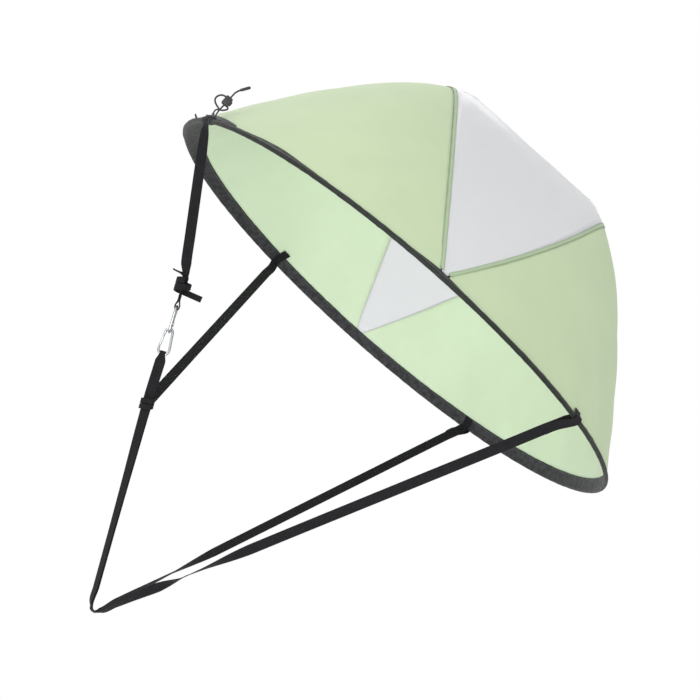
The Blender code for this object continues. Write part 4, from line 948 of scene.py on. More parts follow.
def blendKeys(keys, counts):
    line = []
    for index, count in enumerate(counts):
        for step in range(count):
            share = step / count
            line.append(keys[index] * (1 - share) + keys[index + 1] * share)
    line.append(keys[-1])
    return line


def tangentsOf(path):
    last = len(path) - 1
    return [(path[min(k + 1, last)] - path[max(k - 1, 0)]).normalized() for k in range(last + 1)]


# section of a webbing: rounded woven edges, a flat face between
webSection = ((1.0, 0.0), (0.992, 0.62), (0.955, 0.96), (0.90, 1.0), (0.45, 0.97), (0.0, 0.95), (-0.45, 0.97),
              (-0.90, 1.0), (-0.955, 0.96), (-0.992, 0.62), (-1.0, 0.0), (-0.992, -0.62), (-0.955, -0.96),
              (-0.90, -1.0), (-0.45, -0.97), (0.0, -0.95), (0.45, -0.97), (0.90, -1.0), (0.955, -0.96),
              (0.992, -0.62), (1.0, 0.0))


def strapPiece(name, keys, node, thickness=webbing["thickness"]):
    # webbing through keys of point, width direction, width and pieces to the next key
    counts = [key[3] * webbing["fineness"] for key in keys[:-1]]
    path = smoothPath([key[0] for key in keys], counts)
    across = blendKeys([key[1] for key in keys], counts)
    widths = blendKeys([key[2] for key in keys], counts)
    rings, flats, along, before = [], [], 0.0, path[0]
    for point, heading, side, width in zip(path, tangentsOf(path), across, widths):
        side = (side - heading * side.dot(heading)).normalized()
        face = heading.cross(side)
        along += (point - before).length
        before = point
        rings.append([point + side * (width / 2 * a) + face * (thickness / 2 * b) for a, b in webSection])
        flats.append([(width / 2 * a, along) for a, b in webSection])
    dress(gridMesh(name, rings, flats, (finishes["webbing"],), capped=True), node)


def turnedSide(heading, degrees):
    # width direction of a strap that is turned by an angle from facing the viewer
    across = lookAlong.cross(heading).normalized()
    deep = heading.cross(across)
    angle = math.radians(degrees)
    return across * math.cos(angle) + deep * math.sin(angle)


def plyKey(point, heading, degrees, offset, pieces, width=webbing["width"]):
    side = turnedSide(heading, degrees)
    return (point + heading.cross(side) * offset, side, width, pieces)


# two clips linked eye to eye hang between the knot's loop and the bridle's loop
clip = {
    "loopPlace": (-0.316, -0.074, -0.280), "hitchPlace": (-0.236, -0.074, -0.455), "bow": 0.0105, "eye": 0.0070,
    "spacing": 0.0335, "wire": 0.0025, "linkGap": 0.0009, "nose": 0.0030, "hinge": 0.0050,
    "bowSteps": 36, "eyeSteps": 26, "noseStart": 0.55, "noseSteps": ((0.0003, 1.45), (0.0007, 1.254)),
    "tongue": 0.0052, "tongueHalfWidth": 0.0019, "tongueHalf": 0.00075, "tongueShift": 0.00115,
    "tongueShares": (0.14, 0.80, 0.06), "tongueTip": (0.7, 1.0, 0.9), "pin": 0.0008, "pinGap": 0.00035,
    "pinShare": 0.55, "smoothDeg": 50,
}
plyHalf = (webbing["thickness"] + webbing["plyGap"]) / 2
loopTop = Vector(clip["loopPlace"])
hitchPlace = Vector(clip["hitchPlace"])
chainDown = (hitchPlace - loopTop).normalized()
clipLength = clip["bow"] + clip["spacing"] + clip["eye"]
clipOverlap = clip["wire"] * 2 + clip["linkGap"]
bight = Vector(sail["bight"])

# the bridle: near anchor, bight, riser, loop over the lower clip, and back to the far anchor
# twists are a share of the run and degrees, and the open values spread the riser's two plies
bridle = {
    "nearDeg": -50.4, "farDeg": 53.0, "anchorDrop": 0.017, "anchorReach": 0.024, "hitchTwist": 22,
    "hitchLead": 0.0088, "leadTwist": 16, "riserOpen": 1.35, "bightOpen": 1.6,
    "cornerShift": 0.026, "bightReach": 0.058, "bightRadius": 0.0115, "bightTurns": (-60, 0, 60),
    "bightTwist": 70, "legTwist": 58, "riserTwists": ((0.06, 27), (0.35, 45), (0.60, 54), (0.82, 57)),
    "nearTwists": ((0.10, 45), (0.155, 20), (0.215, 88), (0.26, 75), (0.36, 15), (0.70, 12), (0.955, 15)),
    "farTwists": ((0.10, 60), (0.20, 80), (0.30, 30), (0.45, 25), (0.70, 20), (0.955, 15)),
}
# a webbing loop over a clip's wire, gathered narrow where it bears
wireLoop = {"half": 0.00435, "rise": 0.0068, "corner": 0.72, "neck": 0.0120, "lead": 0.010, "narrow": 0.0110}
innerEnd = {"rimClimb": 0.0035, "rimLift": -0.0078, "hemLift": -0.0046, "clothLift": -0.0033}


def loopKeys(centre, down, degrees, sense):
    side = turnedSide(down * sense, degrees)
    face = (down * sense).cross(side)
    half, rise, corner, neck = (wireLoop[part] for part in ("half", "rise", "corner", "neck"))
    narrow, width = wireLoop["narrow"], webbing["width"]
    ply = plyHalf * bridle["riserOpen"]
    return [(centre + down * (neck + wireLoop["lead"]) - face * ply, side, width, 2),
            (centre + down * neck - face * ply, side, width, 3),
            (centre - face * half, side, narrow, 2),
            (centre - down * (rise * corner) - face * (half * corner), side, narrow, 2),
            (centre - down * rise, side, narrow, 2),
            (centre - down * (rise * corner) + face * (half * corner), side, narrow, 2),
            (centre + face * half, side, narrow, 3),
            (centre + down * neck + face * ply, side, width, 2),
            (centre + down * (neck + wireLoop["lead"]) + face * ply, side, width, 6)]


def innerEndKeys(deg, reach, tangent):
    # a strap's end that meets the hoop from inside and lies on the cloth there
    return [(rimPlace(deg, innerEnd["rimClimb"], innerEnd["rimLift"]), tangent, webbing["width"], 2),
            (rowPoint(deg, sail["hemRow"], innerEnd["hemLift"]), tangent, webbing["width"], 2),
            (rowPoint(deg, reach, innerEnd["clothLift"]), tangent, webbing["width"], 1)]


def bightCorner():
    # the legs aim past the bight, since the rounded turn falls short of their corner
    anchors = [rimPlace(end, 0, -bridle["anchorDrop"]) for end in (bridle["nearDeg"], bridle["farDeg"])]
    inward = (hitchPlace - bight).normalized() + ((anchors[0] + anchors[1]) / 2 - bight).normalized()
    return bight - inward.normalized() * bridle["cornerShift"]


def riserKeys(corner, offset):
    down, length = (corner - hitchPlace).normalized(), (corner - hitchPlace).length
    keys = [plyKey(hitchPlace - chainDown * bridle["hitchLead"], chainDown, bridle["leadTwist"],
                   offset * bridle["riserOpen"], 6)]
    for share, twist in bridle["riserTwists"]:
        opened = bridle["riserOpen"] + (bridle["bightOpen"] - bridle["riserOpen"]) * share * share
        keys.append(plyKey(hitchPlace + down * (length * share), down, twist, offset * opened, 6))
    return keys


def turnKeys(corner, heading, offset):
    # out of the riser, round the bight on an arc and into the leg
    down = (corner - hitchPlace).normalized()
    outward, across = (down - heading).normalized(), (down + heading).normalized()
    middle = corner - outward * (bridle["bightRadius"] / math.sqrt(1 - outward.dot(heading) ** 2))
    keys = [plyKey(corner - down * bridle["bightReach"], down, bridle["legTwist"], offset, 3)]
    for turn in bridle["bightTurns"]:
        sway, swing = math.sin(math.radians(turn)), math.cos(math.radians(turn))
        place = middle + (outward * swing + across * sway) * bridle["bightRadius"]
        keys.append(plyKey(place, across * swing - outward * sway, bridle["bightTwist"], offset, 3))
    keys.append(plyKey(corner + heading * bridle["bightReach"], heading, bridle["legTwist"], offset, 3))
    return keys


def bridleSide(deg, twists, offset):
    corner = bightCorner()
    anchor = rimPlace(deg, 0, -bridle["anchorDrop"])
    heading, reach = (anchor - corner).normalized(), (anchor - corner).length
    keys = riserKeys(corner, offset) + turnKeys(corner, heading, offset * bridle["bightOpen"])
    keys += [plyKey(corner + heading * (reach * share), heading, twist, offset, 3) for share, twist in twists]
    side = turnedSide(heading, twists[-1][1])
    tangent = rimTangent(deg, side)
    keys.append((anchor, (tangent + side).normalized(), webbing["width"], 2))
    return keys + innerEndKeys(deg, bridle["anchorReach"], tangent)


def makeBridle():
    near = bridleSide(bridle["nearDeg"], bridle["nearTwists"], -plyHalf)
    far = bridleSide(bridle["farDeg"], bridle["farTwists"], plyHalf)
    bow = loopTop + chainDown * (clipLength * 2 - clipOverlap)
    backward = [(*near[k][:3], near[k - 1][3]) for k in range(len(near) - 1, 0, -1)]
    backward.append((*near[0][:3], 6))
    strapPiece("bridleStrap", backward + loopKeys(bow, chainDown, 0, 1) + far, "bridle_strap")


# the second side of a leg's loop, round the hoop to the cloth's outside
anchorTab = {
    "apart": 0.0014, "straight": 0.018, "underClimb": -0.0072, "underLift": -0.0040,
    "besideShares": (0.95, 0.3), "overLift": 0.0068, "clothLift": 0.0030, "endRow": 0.016,
}


def makeAnchorTab(name, deg, twists, offset, node):
    anchor = rimPlace(deg, 0, -bridle["anchorDrop"])
    heading, reach = (anchor - bight).normalized(), (anchor - bight).length
    side = turnedSide(heading, twists[-1][1])
    tangent = rimTangent(deg, side)
    face = heading.cross(side)
    if face.dot(rimAxes(deg)[0]) > 0:
        face = -face
    start = bight + heading * (reach * twists[-1][0]) + heading.cross(side) * offset
    tilt = (tangent + side).normalized()
    beside = start + face * (webbing["thickness"] + webbing["plyGap"] + anchorTab["apart"])
    straight, under, width = anchorTab["straight"], anchorTab["underClimb"], webbing["width"]
    over, lift = anchorTab["overLift"], anchorTab["clothLift"]
    climbShare, liftShare = anchorTab["besideShares"]
    keys = [(beside, side, width, 2),
            (beside + heading * straight, side.lerp(tilt, straight / (anchor - start).length), width, 2),
            (rimPlace(deg, under, anchorTab["underLift"]), (tilt + tangent).normalized(), width, 2),
            (rimPlace(deg, under * climbShare, over * liftShare), tangent, width, 2),
            (rimPlace(deg, 0, over), tangent, width, 2),
            (rowPoint(deg, sail["hemRow"], lift), tangent, width, 1),
            (rowPoint(deg, anchorTab["endRow"], lift), tangent, width, 1)]
    strapPiece(name, keys, node)


makeBridle()
makeAnchorTab("nearAnchorTab", bridle["nearDeg"], bridle["nearTwists"], -plyHalf, "near_anchor_tab")
makeAnchorTab("farAnchorTab", bridle["farDeg"], bridle["farTwists"], plyHalf, "far_anchor_tab")
print("bridle run")


# side strap with its hitch round the riser, and the strap from the hoop through the knot to the upper clip
wrapSteps = 14
sideStrap = {
    "deg": 118.0, "twists": ((0.016, 12), (0.3, 20), (0.6, 10), (0.93, 5)), "reach": 0.040,
    "halfWidth": 0.0132, "halfDepth": 0.0062, "pitch": 0.0112, "turns": 1.75, "startTurn": 0.25, "square": 0.55,
    "wrapWidth": 0.0095, "wrapThick": 0.0016,
}
clipStrap = {
    "deg": -156.0, "clothLift": 0.0030, "overLift": 0.0062, "besideShare": 0.4, "underClimb": -0.0056,
    "underLift": -0.0040, "twists": ((0.05, 35), (0.16, 15), (0.4, 5), (0.68, -5), (0.86, 0)),
    "knot": (-0.334, -0.077, -0.243), "radius": 0.0143, "pitch": 0.0138, "turns": 1.5, "startTurn": -0.25,
    "square": 0.9, "wrapWidth": 0.0120, "wrapThick": 0.0030, "intoShare": -1.2, "intoTwist": 10,
    "insideShare": 0.3, "insideTwist": 72, "open": 1.9, "innerWidth": 0.0110, "tipTwist": 60,
    "tip": (-0.3698, -0.0727, -0.2308), "tipWidth": 0.010, "tail": (-0.2905, -0.075, -0.2399),
    "tailShare": 0.4, "tuck": 0.0057,
}


def wrapKeys(centre, heading, side, strap, halfWidth, halfDepth):
    # turns of a strap round a run, squarer in section as its square value falls
    face = heading.cross(side)
    keys = []
    for k in range(round(strap["turns"] * wrapSteps) + 1):
        turn = math.tau * (strap["startTurn"] + k / wrapSteps)
        cosine, sine = math.cos(turn), math.sin(turn)
        x = math.copysign(abs(cosine) ** strap["square"], cosine) * halfWidth
        y = math.copysign(abs(sine) ** strap["square"], sine) * halfDepth
        rise = strap["pitch"] * (k / wrapSteps - strap["turns"] / 2)
        keys.append((centre + side * x + face * y + heading * rise, heading, strap["wrapWidth"], 1))
    return keys


def makeSideStrap():
    deg = sideStrap["deg"]
    anchor = rimPlace(deg, 0, -bridle["anchorDrop"])
    heading, span = (anchor - hitchPlace).normalized(), (anchor - hitchPlace).length
    tangent = rimTangent(deg, turnedSide(heading, 0))
    keys = [plyKey(hitchPlace + heading * (span * share), heading, twist, 0, 3)
            for share, twist in sideStrap["twists"]]
    keys.append((anchor, (tangent + keys[-1][1]).normalized(), webbing["width"], 2))
    strapPiece("sideStrap", keys + innerEndKeys(deg, sideStrap["reach"], tangent), "side_strap")
    axis = ((bight - hitchPlace).normalized() + chainDown).normalized()
    side = turnedSide(axis, bridle["hitchTwist"])
    wraps = wrapKeys(hitchPlace, axis, side, sideStrap, sideStrap["halfWidth"], sideStrap["halfDepth"])
    strapPiece("sideStrapHitch", wraps, "side_strap_hitch", sideStrap["wrapThick"])


def makeClipStrap():
    strap, deg, width = clipStrap, clipStrap["deg"], webbing["width"]
    knot = Vector(strap["knot"])
    below = (loopTop - knot).normalized()
    start = rimPlace(deg, strap["underClimb"], strap["underLift"])
    heading, span = (knot - start).normalized(), (knot - start).length
    tangent = rimTangent(deg, turnedSide(heading, 0))
    keys = [(rowPoint(deg, sail["hemRow"], strap["clothLift"]), tangent, width, 2),
            (rimPlace(deg, 0, strap["overLift"]), tangent, width, 2),
            (rimPlace(deg, strap["underClimb"], strap["overLift"] * strap["besideShare"]), tangent, width, 2),
            (start, tangent, width, 3)]
    keys += [plyKey(start + heading * (span * share), heading, twist, 0, 3) for share, twist in strap["twists"]]
    # down through the knot, round the clip's bow and back up to a short tip
    into = (knot + below * (strap["radius"] * strap["intoShare"]), below, strap["intoTwist"])
    inside = (knot + below * (strap["radius"] * strap["insideShare"]), below, strap["insideTwist"])
    opened, inner = plyHalf * strap["open"], strap["innerWidth"]
    loop = loopKeys(loopTop, -below, 90, -1)
    keys += [plyKey(*into, -opened, 6, inner), plyKey(*inside, -opened, 4, inner)]
    keys += loop[:-1] + [(*loop[-1][:3], 4)]
    keys += [plyKey(*inside, opened, 6, inner), plyKey(*into, opened, 3, inner)]
    keys.append((Vector(strap["tip"]), turnedSide(below, strap["tipTwist"]), strap["tipWidth"], 1))
    strapPiece("clipStrap", keys, "clip_strap")
    makeClipKnot(knot, below)


def makeClipKnot(knot, below):
    strap, side = clipStrap, turnedSide(below, 0)
    wraps = wrapKeys(knot, below, side, strap, strap["radius"], strap["radius"])
    tuck = knot - below.cross(side) * strap["tuck"] + below * below.dot(wraps[0][0] - knot)
    last, tail = wraps[-1][0], Vector(strap["tail"])
    wraps.insert(0, (tuck, below, strap["wrapWidth"], 3))
    for place in (last + (tail - last) * strap["tailShare"], tail):
        wraps.append((place, below, strap["wrapWidth"], 1))
    strapPiece("clipStrapKnot", wraps, "clip_strap_knot", strap["wrapThick"])


makeSideStrap()
makeClipStrap()
print("straps and knots tied")


# cords, each a round tube with its own flat map
def cordPiece(name, points, radius, node, finish="braid", smooth=6, sides=14, frameAt=None, body="sail",
              stands=True):
    keys = [Vector(point) for point in points]
    path = smoothPath(keys, [smooth] * (len(keys) - 1))
    if frameAt is not None:
        path = [frameAt @ point for point in path]
    heads = tangentsOf(path)
    side = heads[0].orthogonal().normalized()
    rings, flats, along, before = [], [], 0.0, path[0]
    turns = [math.tau * k / sides for k in range(sides + 1)]
    for point, heading in zip(path, heads):
        side = (side - heading * side.dot(heading)).normalized()
        face = heading.cross(side)
        along += (point - before).length
        before = point
        rings.append([point + side * (radius * math.cos(turn)) + face * (radius * math.sin(turn))
                      for turn in turns])
        flats.append([(radius * turn, along) for turn in turns])
    piece = gridMesh(name, rings, flats, (finishes[finish],), capped=True)
    dress(piece, node, body, stands)
    return piece, [toWorld(point) for point in path], along


# shock cord of the tether, doubled through its lock; the strands' rows are share of the run, width and depth
tether = {
    "radius": 0.0014, "fine": 0.0011, "spread": 0.00155, "foot": (-0.4890, -0.2330, 0.0115),
    "lock": (-0.4905, -0.2300, 0.0486), "straight": (-0.0210, -0.0160, 0.0160, 0.0210),
    "bend": (-0.4870, -0.2300, 0.0800), "end": (-0.4790, -0.2300, 0.0930), "tip": 0.0022, "tipSteps": 4,
    "bow": -0.0030, "apart": 0.0030, "footShare": 0.55, "strands": ((0.35, 1.0, 0.6), (0.68, 0.85, 0.6)),
}
# a keeper loop of thin cord round the lock's foot and left side, its points from the lock in millimetres
keeper = {
    "points": ((-7.2, -1.0, 5.0), (-14.6, -2.0, 1.9), (-16.3, -2.2, 0.2), (-19.6, -3.0, -9.2),
               (-19.2, -3.3, -11.3), (-2.4, -4.9, -21.4), (0.0, -5.0, -21.9), (9.4, -4.0, -13.8),
               (10.3, -3.6, -12.0), (9.2, -2.6, -9.4), (6.2, -1.4, -7.6)),
    "radius": 0.0017,
}
# the moulded cap over the tether's joined end: places along it and shares of its half sizes
cordCap = {
    "deep": 0.0037, "side": 0.0029, "sides": 20, "flatStep": 0.0005,
    "profile": ((-0.0150, 0.0), (-0.0148, 0.62), (-0.0142, 0.86), (-0.0128, 0.94), (0.0018, 1.0),
                (0.0036, 0.9), (0.0047, 0.66), (0.0052, 0.35), (0.0053, 0.0)),
}


def makeTether():
    centre, across = Vector(tether["lock"]), Vector((0, tether["spread"], 0))
    end, bend = Vector(tether["end"]), Vector(tether["bend"])
    straight = [centre + Vector((0, 0, height)) for height in tether["straight"]]
    foot = Vector(tether["foot"])
    heading = (end - bend).normalized()
    turns = [math.pi * k / tether["tipSteps"] for k in range(tether["tipSteps"] + 1)]
    tipAcross = Vector((0, tether["tip"], 0))
    tip = [end + heading * (tether["tip"] * math.sin(turn)) + tipAcross * math.cos(turn) for turn in turns]
    # the strands lie side by side to the viewer below the lock and one behind the other inside it
    sideways = Vector((tether["apart"], 0, 0))
    near, far = [foot + sideways * tether["footShare"]], [foot - sideways * tether["footShare"]]
    for share, wide, deep in tether["strands"]:
        between = foot.lerp(straight[0], share) + Vector((tether["bow"], 0, 0)) * math.sin(math.pi * share)
        apart = sideways * wide + across * (share * deep)
        near.append(between + apart)
        far.append(between - apart)
    near += [point + across for point in straight + [bend]]
    far += [point - across for point in straight + [bend]]
    radius = tether["radius"]
    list(cordPiece("tetherCord", near + tip + far[::-1], radius, "tether_cord", smooth=5))
    points = [centre + Vector(point) / 1000 for point in keeper["points"]]
    radius = keeper["radius"]
    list(cordPiece("lockKeeper", points, radius, "cord_lock_body", body="cord_lock", stands=False))
    makeCordCap(end, heading, across.normalized())


def makeCordCap(end, heading, deep):
    sides, side = cordCap["sides"], heading.cross(deep)
    rings, flats = [], []
    for place, share in cordCap["profile"]:
        ring = [math.tau * k / sides for k in range(sides + 1)]
        rings.append([end + heading * place + deep * (cordCap["deep"] * share * math.cos(turn))
                      + side * (cordCap["side"] * share * math.sin(turn)) for turn in ring])
        flats.append([(cordCap["flatStep"] * k, place) for k in range(sides + 1)])
    dress(gridMesh("tetherCap", rings, flats, (finishes["lock"],), capped=True), "tether_cord", stands=False)


# thin cord that passes round the hoop twice on each side of the clip strap
lashing = {
    "shift": 0.0120, "pitch": 0.0050, "out": 0.0058, "climb": 0.0100, "lift": 0.0039, "corner": (0.75, 0.7),
    "crossClimb": 0.0030, "crossLift": 0.0092, "crossShift": 0.0112, "passes": (-1.1, -0.4, 0.4, 1.1),
}


def makeLashing():
    out, climb, lift, deg = lashing["out"], lashing["climb"], lashing["lift"], clipStrap["deg"]
    cornerX, cornerY = lashing["corner"]
    ring = ((climb, lift), (0.0, out), (-out * cornerX, out * cornerY), (-out, 0.0),
            (-out * cornerX, -out * cornerY), (0.0, -out), (climb, -lift))
    route = []
    for k, place in enumerate(lashing["passes"]):
        shift = math.copysign(lashing["shift"], place) + place * lashing["pitch"]
        at = deg + math.degrees(shift / sail["hoopRadius"])
        points = [rimPlace(at, up, off) for up, off in ring]
        route += points[::-1] if k % 2 else points
        if k == 1:
            # here the cord crosses the strap to its other side
            for shift in (-lashing["crossShift"], 0.0, lashing["crossShift"]):
                at = deg + math.degrees(shift / sail["hoopRadius"])
                route.append(rimPlace(at, lashing["crossClimb"], lashing["crossLift"]))
    radius = tether["fine"]
    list(cordPiece("tetherLashing", route, radius, "tether_lashing", smooth=5))


smallLoops = {
    "keel_loop": {"name": "keelLoop", "deg": 180.0, "row": 0.062, "spread": 0.012, "height": 0.015,
                  "seat": 0.0022},
    "rim_loop": {"name": "rimLoop", "deg": -167.0, "row": 0.008, "spread": 0.009, "height": 0.008,
                 "seat": 0.0032},
}
loopForm = {"shoulder": 0.6, "swell": 0.16, "shortest": 0.03}


def makeSmallLoops():
    for node, loop in smallLoops.items():
        half = math.degrees(loop["spread"] / 2 / sail["hoopRadius"])
        left, right = (rowPoint(loop["deg"] + turn, loop["row"], loop["seat"]) for turn in (-half, half))
        middle = (left + right) / 2 + rimAxes(loop["deg"])[1] * loop["height"]
        swell = (right - left) * loopForm["swell"]
        points = [left, left.lerp(middle, loopForm["shoulder"]) - swell, middle,
                  right.lerp(middle, loopForm["shoulder"]) + swell, right]
        piece, path, length = cordPiece(loop["name"], points, tether["fine"], node, smooth=8)


makeTether()
makeLashing()
makeSmallLoops()
print("cords laid")


# snap clips, spun and extruded from a wire's round section
# the gate's rows are measured from its pin as shares of the fork's length
gate = {
    "radius": 0.0021, "gap": 0.0006, "noseStart": 0.6, "noseSteps": ((0.0003, 1.35), (0.0007, 1.235)),
    "forkGap": 0.0044, "cheek": 0.0009, "forkLength": 0.0068, "forkHalfWidth": 0.0023,
    "forkTip": (0.82, 1.0, 0.94), "forkRows": (-1.35, -1.05, 0.14, 0.28), "slotRows": (-0.72, 2.0),
    "slotHalfWidth": 0.0045,
}
rivet = {
    "sides": 16, "start": 0.0007, "height": 0.0004, "head": 0.00129, "neck": 0.0001,
    "nearSteps": ((0.0001, 1.6), (0.0002, 1.15)), "farSteps": ((0.0002, 0.87), (0.0002, 0.62)),
}
gateSpring = {"wire": 0.00025, "radius": 0.00165, "turns": 1.5, "steps": 40, "inset": 0.0006, "length": -0.0015}
cutter = {"sides": 20, "length": 0.02, "past": 0.003, "roundSteps": 4}

# the clip's middle line in its own frame: both arcs' centres, and the straight side that the gate closes
clipLean = math.asin((clip["bow"] - clip["eye"]) / clip["spacing"])
bowCentre, eyeCentre = Vector((0, clip["bow"], 0)), Vector((0, clip["bow"] + clip["spacing"], 0))
gateOutward = Vector((math.cos(clipLean), math.sin(clipLean), 0))
gateLow, gateHigh = bowCentre + gateOutward * clip["bow"], eyeCentre + gateOutward * clip["eye"]
gateRise, gateLength = (gateHigh - gateLow).normalized(), (gateHigh - gateLow).length
pinCentre = gateLow + gateRise * (gateLength - clip["hinge"] - clip["tongue"] * clip["pinShare"])


def clipMatrix(label):
    if label == "upper":
        origin, along, wide = loopTop, chainDown, turnedSide(chainDown, 90)
    else:
        origin = loopTop + chainDown * (clipLength * 2 - clipOverlap)
        along, wide = -chainDown, turnedSide(chainDown, 0)
    frameAt = Matrix((wide, along, wide.cross(along))).transposed().to_4x4()
    frameAt.translation = origin
    return frameAt


def editOn(piece):
    choose(piece)
    bpy.ops.object.mode_set(mode="EDIT")


def editOff():
    bpy.ops.object.mode_set(mode="OBJECT")


def wireStart(name, radius, place, heading, sides=20):
    # a filled circle across the wire, its place applied to its mesh
    bpy.ops.object.select_all(action="DESELECT")
    bpy.ops.mesh.primitive_circle_add(vertices=sides, radius=radius, fill_type="NGON", location=place,
                                      rotation=heading.to_track_quat("Z", "Y").to_euler())
    piece = bpy.context.object
    piece.name = name
    bpy.ops.object.transform_apply(location=True, rotation=True, scale=True)
    editOn(piece)
    bpy.ops.mesh.select_all(action="SELECT")
    return piece


def pushOn(step, widen=None, centre=None):
    # extrudes the open end along a step and reshapes it about a centre
    bpy.ops.mesh.extrude_region_move(TRANSFORM_OT_translate={"value": step})
    if widen:
        bpy.ops.transform.resize(value=widen, orient_type="GLOBAL", center_override=centre)


def roundNose(place, heading, steps):
    # short steps that widen the wire from its blunt start, and how far they went
    gone = 0.0
    for step, widen in steps:
        gone += step
        pushOn(heading * step, (widen, 1.0, widen), place + heading * gone)
    return gone


def closeShell():
    # joins what meets and turns every face outward, before a cut or at the end
    bpy.ops.mesh.select_all(action="SELECT")
    bpy.ops.mesh.remove_doubles(threshold=weld)
    bpy.ops.mesh.normals_make_consistent(inside=False)
    editOff()


def boxAt(name, lowest, highest, rounding=0.0):
    # a cube stretched between two corners, its edges bevelled
    lowest, highest = Vector(lowest), Vector(highest)
    bpy.ops.object.select_all(action="DESELECT")
    bpy.ops.mesh.primitive_cube_add(size=1.0, location=(lowest + highest) / 2)
    piece = bpy.context.object
    piece.name = name
    bpy.ops.transform.resize(value=highest - lowest)
    bpy.ops.object.transform_apply(location=True, rotation=True, scale=True)
    if rounding:
        editOn(piece)
        bpy.ops.mesh.select_all(action="SELECT")
        bpy.ops.mesh.bevel(offset=rounding, segments=cutter["roundSteps"], affect="EDGES")
        editOff()
    return piece


def cutAway(piece, tool):
    step = piece.modifiers.new("bore", "BOOLEAN")
    step.operation = "DIFFERENCE"
    step.solver = "EXACT"
    step.object = tool
    applyModifiers(piece)
    bpy.data.objects.remove(tool)


def pinBore(piece, place):
    bpy.ops.object.select_all(action="DESELECT")
    bpy.ops.mesh.primitive_cylinder_add(vertices=cutter["sides"], radius=clip["pin"] + clip["pinGap"],
                                        depth=cutter["length"], location=place)
    cutAway(piece, bpy.context.object)


def finishPiece(piece, frameAt, finish, node, body, smoothDeg):
    # sets the piece in its place, paints it and ties it to its body
    editOn(piece)
    closeShell()
    piece.data.transform(sailAxes @ frameAt)
    piece.data.materials.clear()
    piece.data.materials.append(finishes[finish])
    bpy.ops.object.shade_smooth_by_angle(angle=math.radians(smoothDeg))
    piece.select_set(False)
    dress(piece, node, body)


def makeClipBody(label):
    wire, nose = clip["wire"], gateLow + gateRise * clip["nose"]
    piece = wireStart(label + "ClipBody", wire * clip["noseStart"], nose, -gateRise)
    gone = roundNose(nose, -gateRise, clip["noseSteps"])
    pushOn(-gateRise * (clip["nose"] - gone))
    bpy.ops.mesh.spin(steps=clip["bowSteps"], angle=math.pi + clipLean * 2, center=bowCentre, axis=(0, 0, 1))
    left = Vector((-math.cos(clipLean), math.sin(clipLean), 0))
    pushOn(eyeCentre + left * clip["eye"] - bowCentre - left * clip["bow"])
    bpy.ops.mesh.spin(steps=clip["eyeSteps"], angle=math.pi - clipLean * 2, center=eyeCentre, axis=(0, 0, 1))
    pushOn(-gateRise * clip["hinge"])
    # the tongue, flat and off the middle so that the fork passes round it
    end = gateLow + gateRise * (gateLength - clip["hinge"])
    shift = Vector((0, 0, clip["tongueShift"]))
    toFlat, along, toTip = (gateRise * (clip["tongue"] * share) for share in clip["tongueShares"])
    squeeze = (clip["tongueHalfWidth"] / wire, 1.0, clip["tongueHalf"] / wire)
    pushOn(-toFlat - shift, squeeze, end - toFlat - shift)
    pushOn(-along)
    pushOn(-toTip, clip["tongueTip"], end - gateRise * clip["tongue"] - shift)
    closeShell()
    pinBore(piece, pinCentre)
    finishPiece(piece, clipMatrix(label), "plated", label + "_clip_body", label + "_clip", clip["smoothDeg"])


def makeGate(label):
    span = (pinCentre - gateLow - gateRise * (clip["nose"] + gate["gap"])).length
    radius, fork, up = gate["radius"], gate["forkLength"], Vector((0, 1, 0))
    halfFork = gate["forkGap"] / 2 + gate["cheek"]
    first, full, last, tip = gate["forkRows"]
    piece = wireStart(label + "Gate", radius * gate["noseStart"], -up * span, up)
    gone = roundNose(-up * span, up, gate["noseSteps"])
    pushOn(up * (span - gone + fork * first))
    widen = (gate["forkHalfWidth"] / radius, 1.0, halfFork / radius)
    pushOn(up * (fork * (full - first)), widen, up * (fork * full))
    pushOn(up * (fork * (last - full)))
    pushOn(up * (fork * (tip - last)), gate["forkTip"], up * (fork * tip))
    editOff()
    slotHalf, (slotStart, slotEnd) = gate["slotHalfWidth"], gate["slotRows"]
    cutAway(piece, boxAt("forkSlot", (-slotHalf, fork * slotStart, -gate["forkGap"] / 2),
                         (slotHalf, fork * slotEnd, gate["forkGap"] / 2)))
    pinBore(piece, (0, 0, 0))
    pinFrame = clipMatrix(label) @ Matrix.Translation(pinCentre)
    turn = Matrix.Rotation(math.atan2(-gateRise.x, gateRise.y), 4, "Z")
    finishPiece(piece, pinFrame @ turn, "plated", label + "_gate", label + "_gate", clip["smoothDeg"])
    makeGatePin(label, halfFork, pinFrame)


def makeGatePin(label, halfFork, pinFrame):
    # pin with two small rivet heads, and the gate's spring round it
    up, place = Vector((0, 0, 1)), -halfFork - rivet["height"]
    piece = wireStart(label + "GatePin", rivet["start"], up * place, up, rivet["sides"])
    neck = clip["pin"] / rivet["head"]
    shank = ((rivet["neck"], neck), (halfFork * 2, 1.0), (0.0, 1 / neck))
    for step, widen in rivet["nearSteps"] + shank + rivet["farSteps"]:
        place += step
        pushOn(up * step, (widen, widen, 1.0), up * place)
    editOff()
    finishPiece(piece, pinFrame, "plated", label + "_gate_pin", label + "_clip", clip["smoothDeg"])
    coil = coilPoints(gateSpring, gate["forkGap"] / 2 - gateSpring["inset"])
    cordPiece(label + "GateSpring", coil, gateSpring["wire"], label + "_gate_spring", "spring", smooth=1,
              sides=10, frameAt=pinFrame, body=label + "_clip")


def coilPoints(spring, start):
    turns = [(k / spring["steps"], math.tau * spring["turns"] * k / spring["steps"])
             for k in range(spring["steps"] + 1)]
    return [(spring["radius"] * math.cos(around), spring["radius"] * math.sin(around),
             start + spring["length"] * share) for share, around in turns]


for label in ("upper", "lower"):
    makeClipBody(label)
    makeGate(label)
print("clips bent")


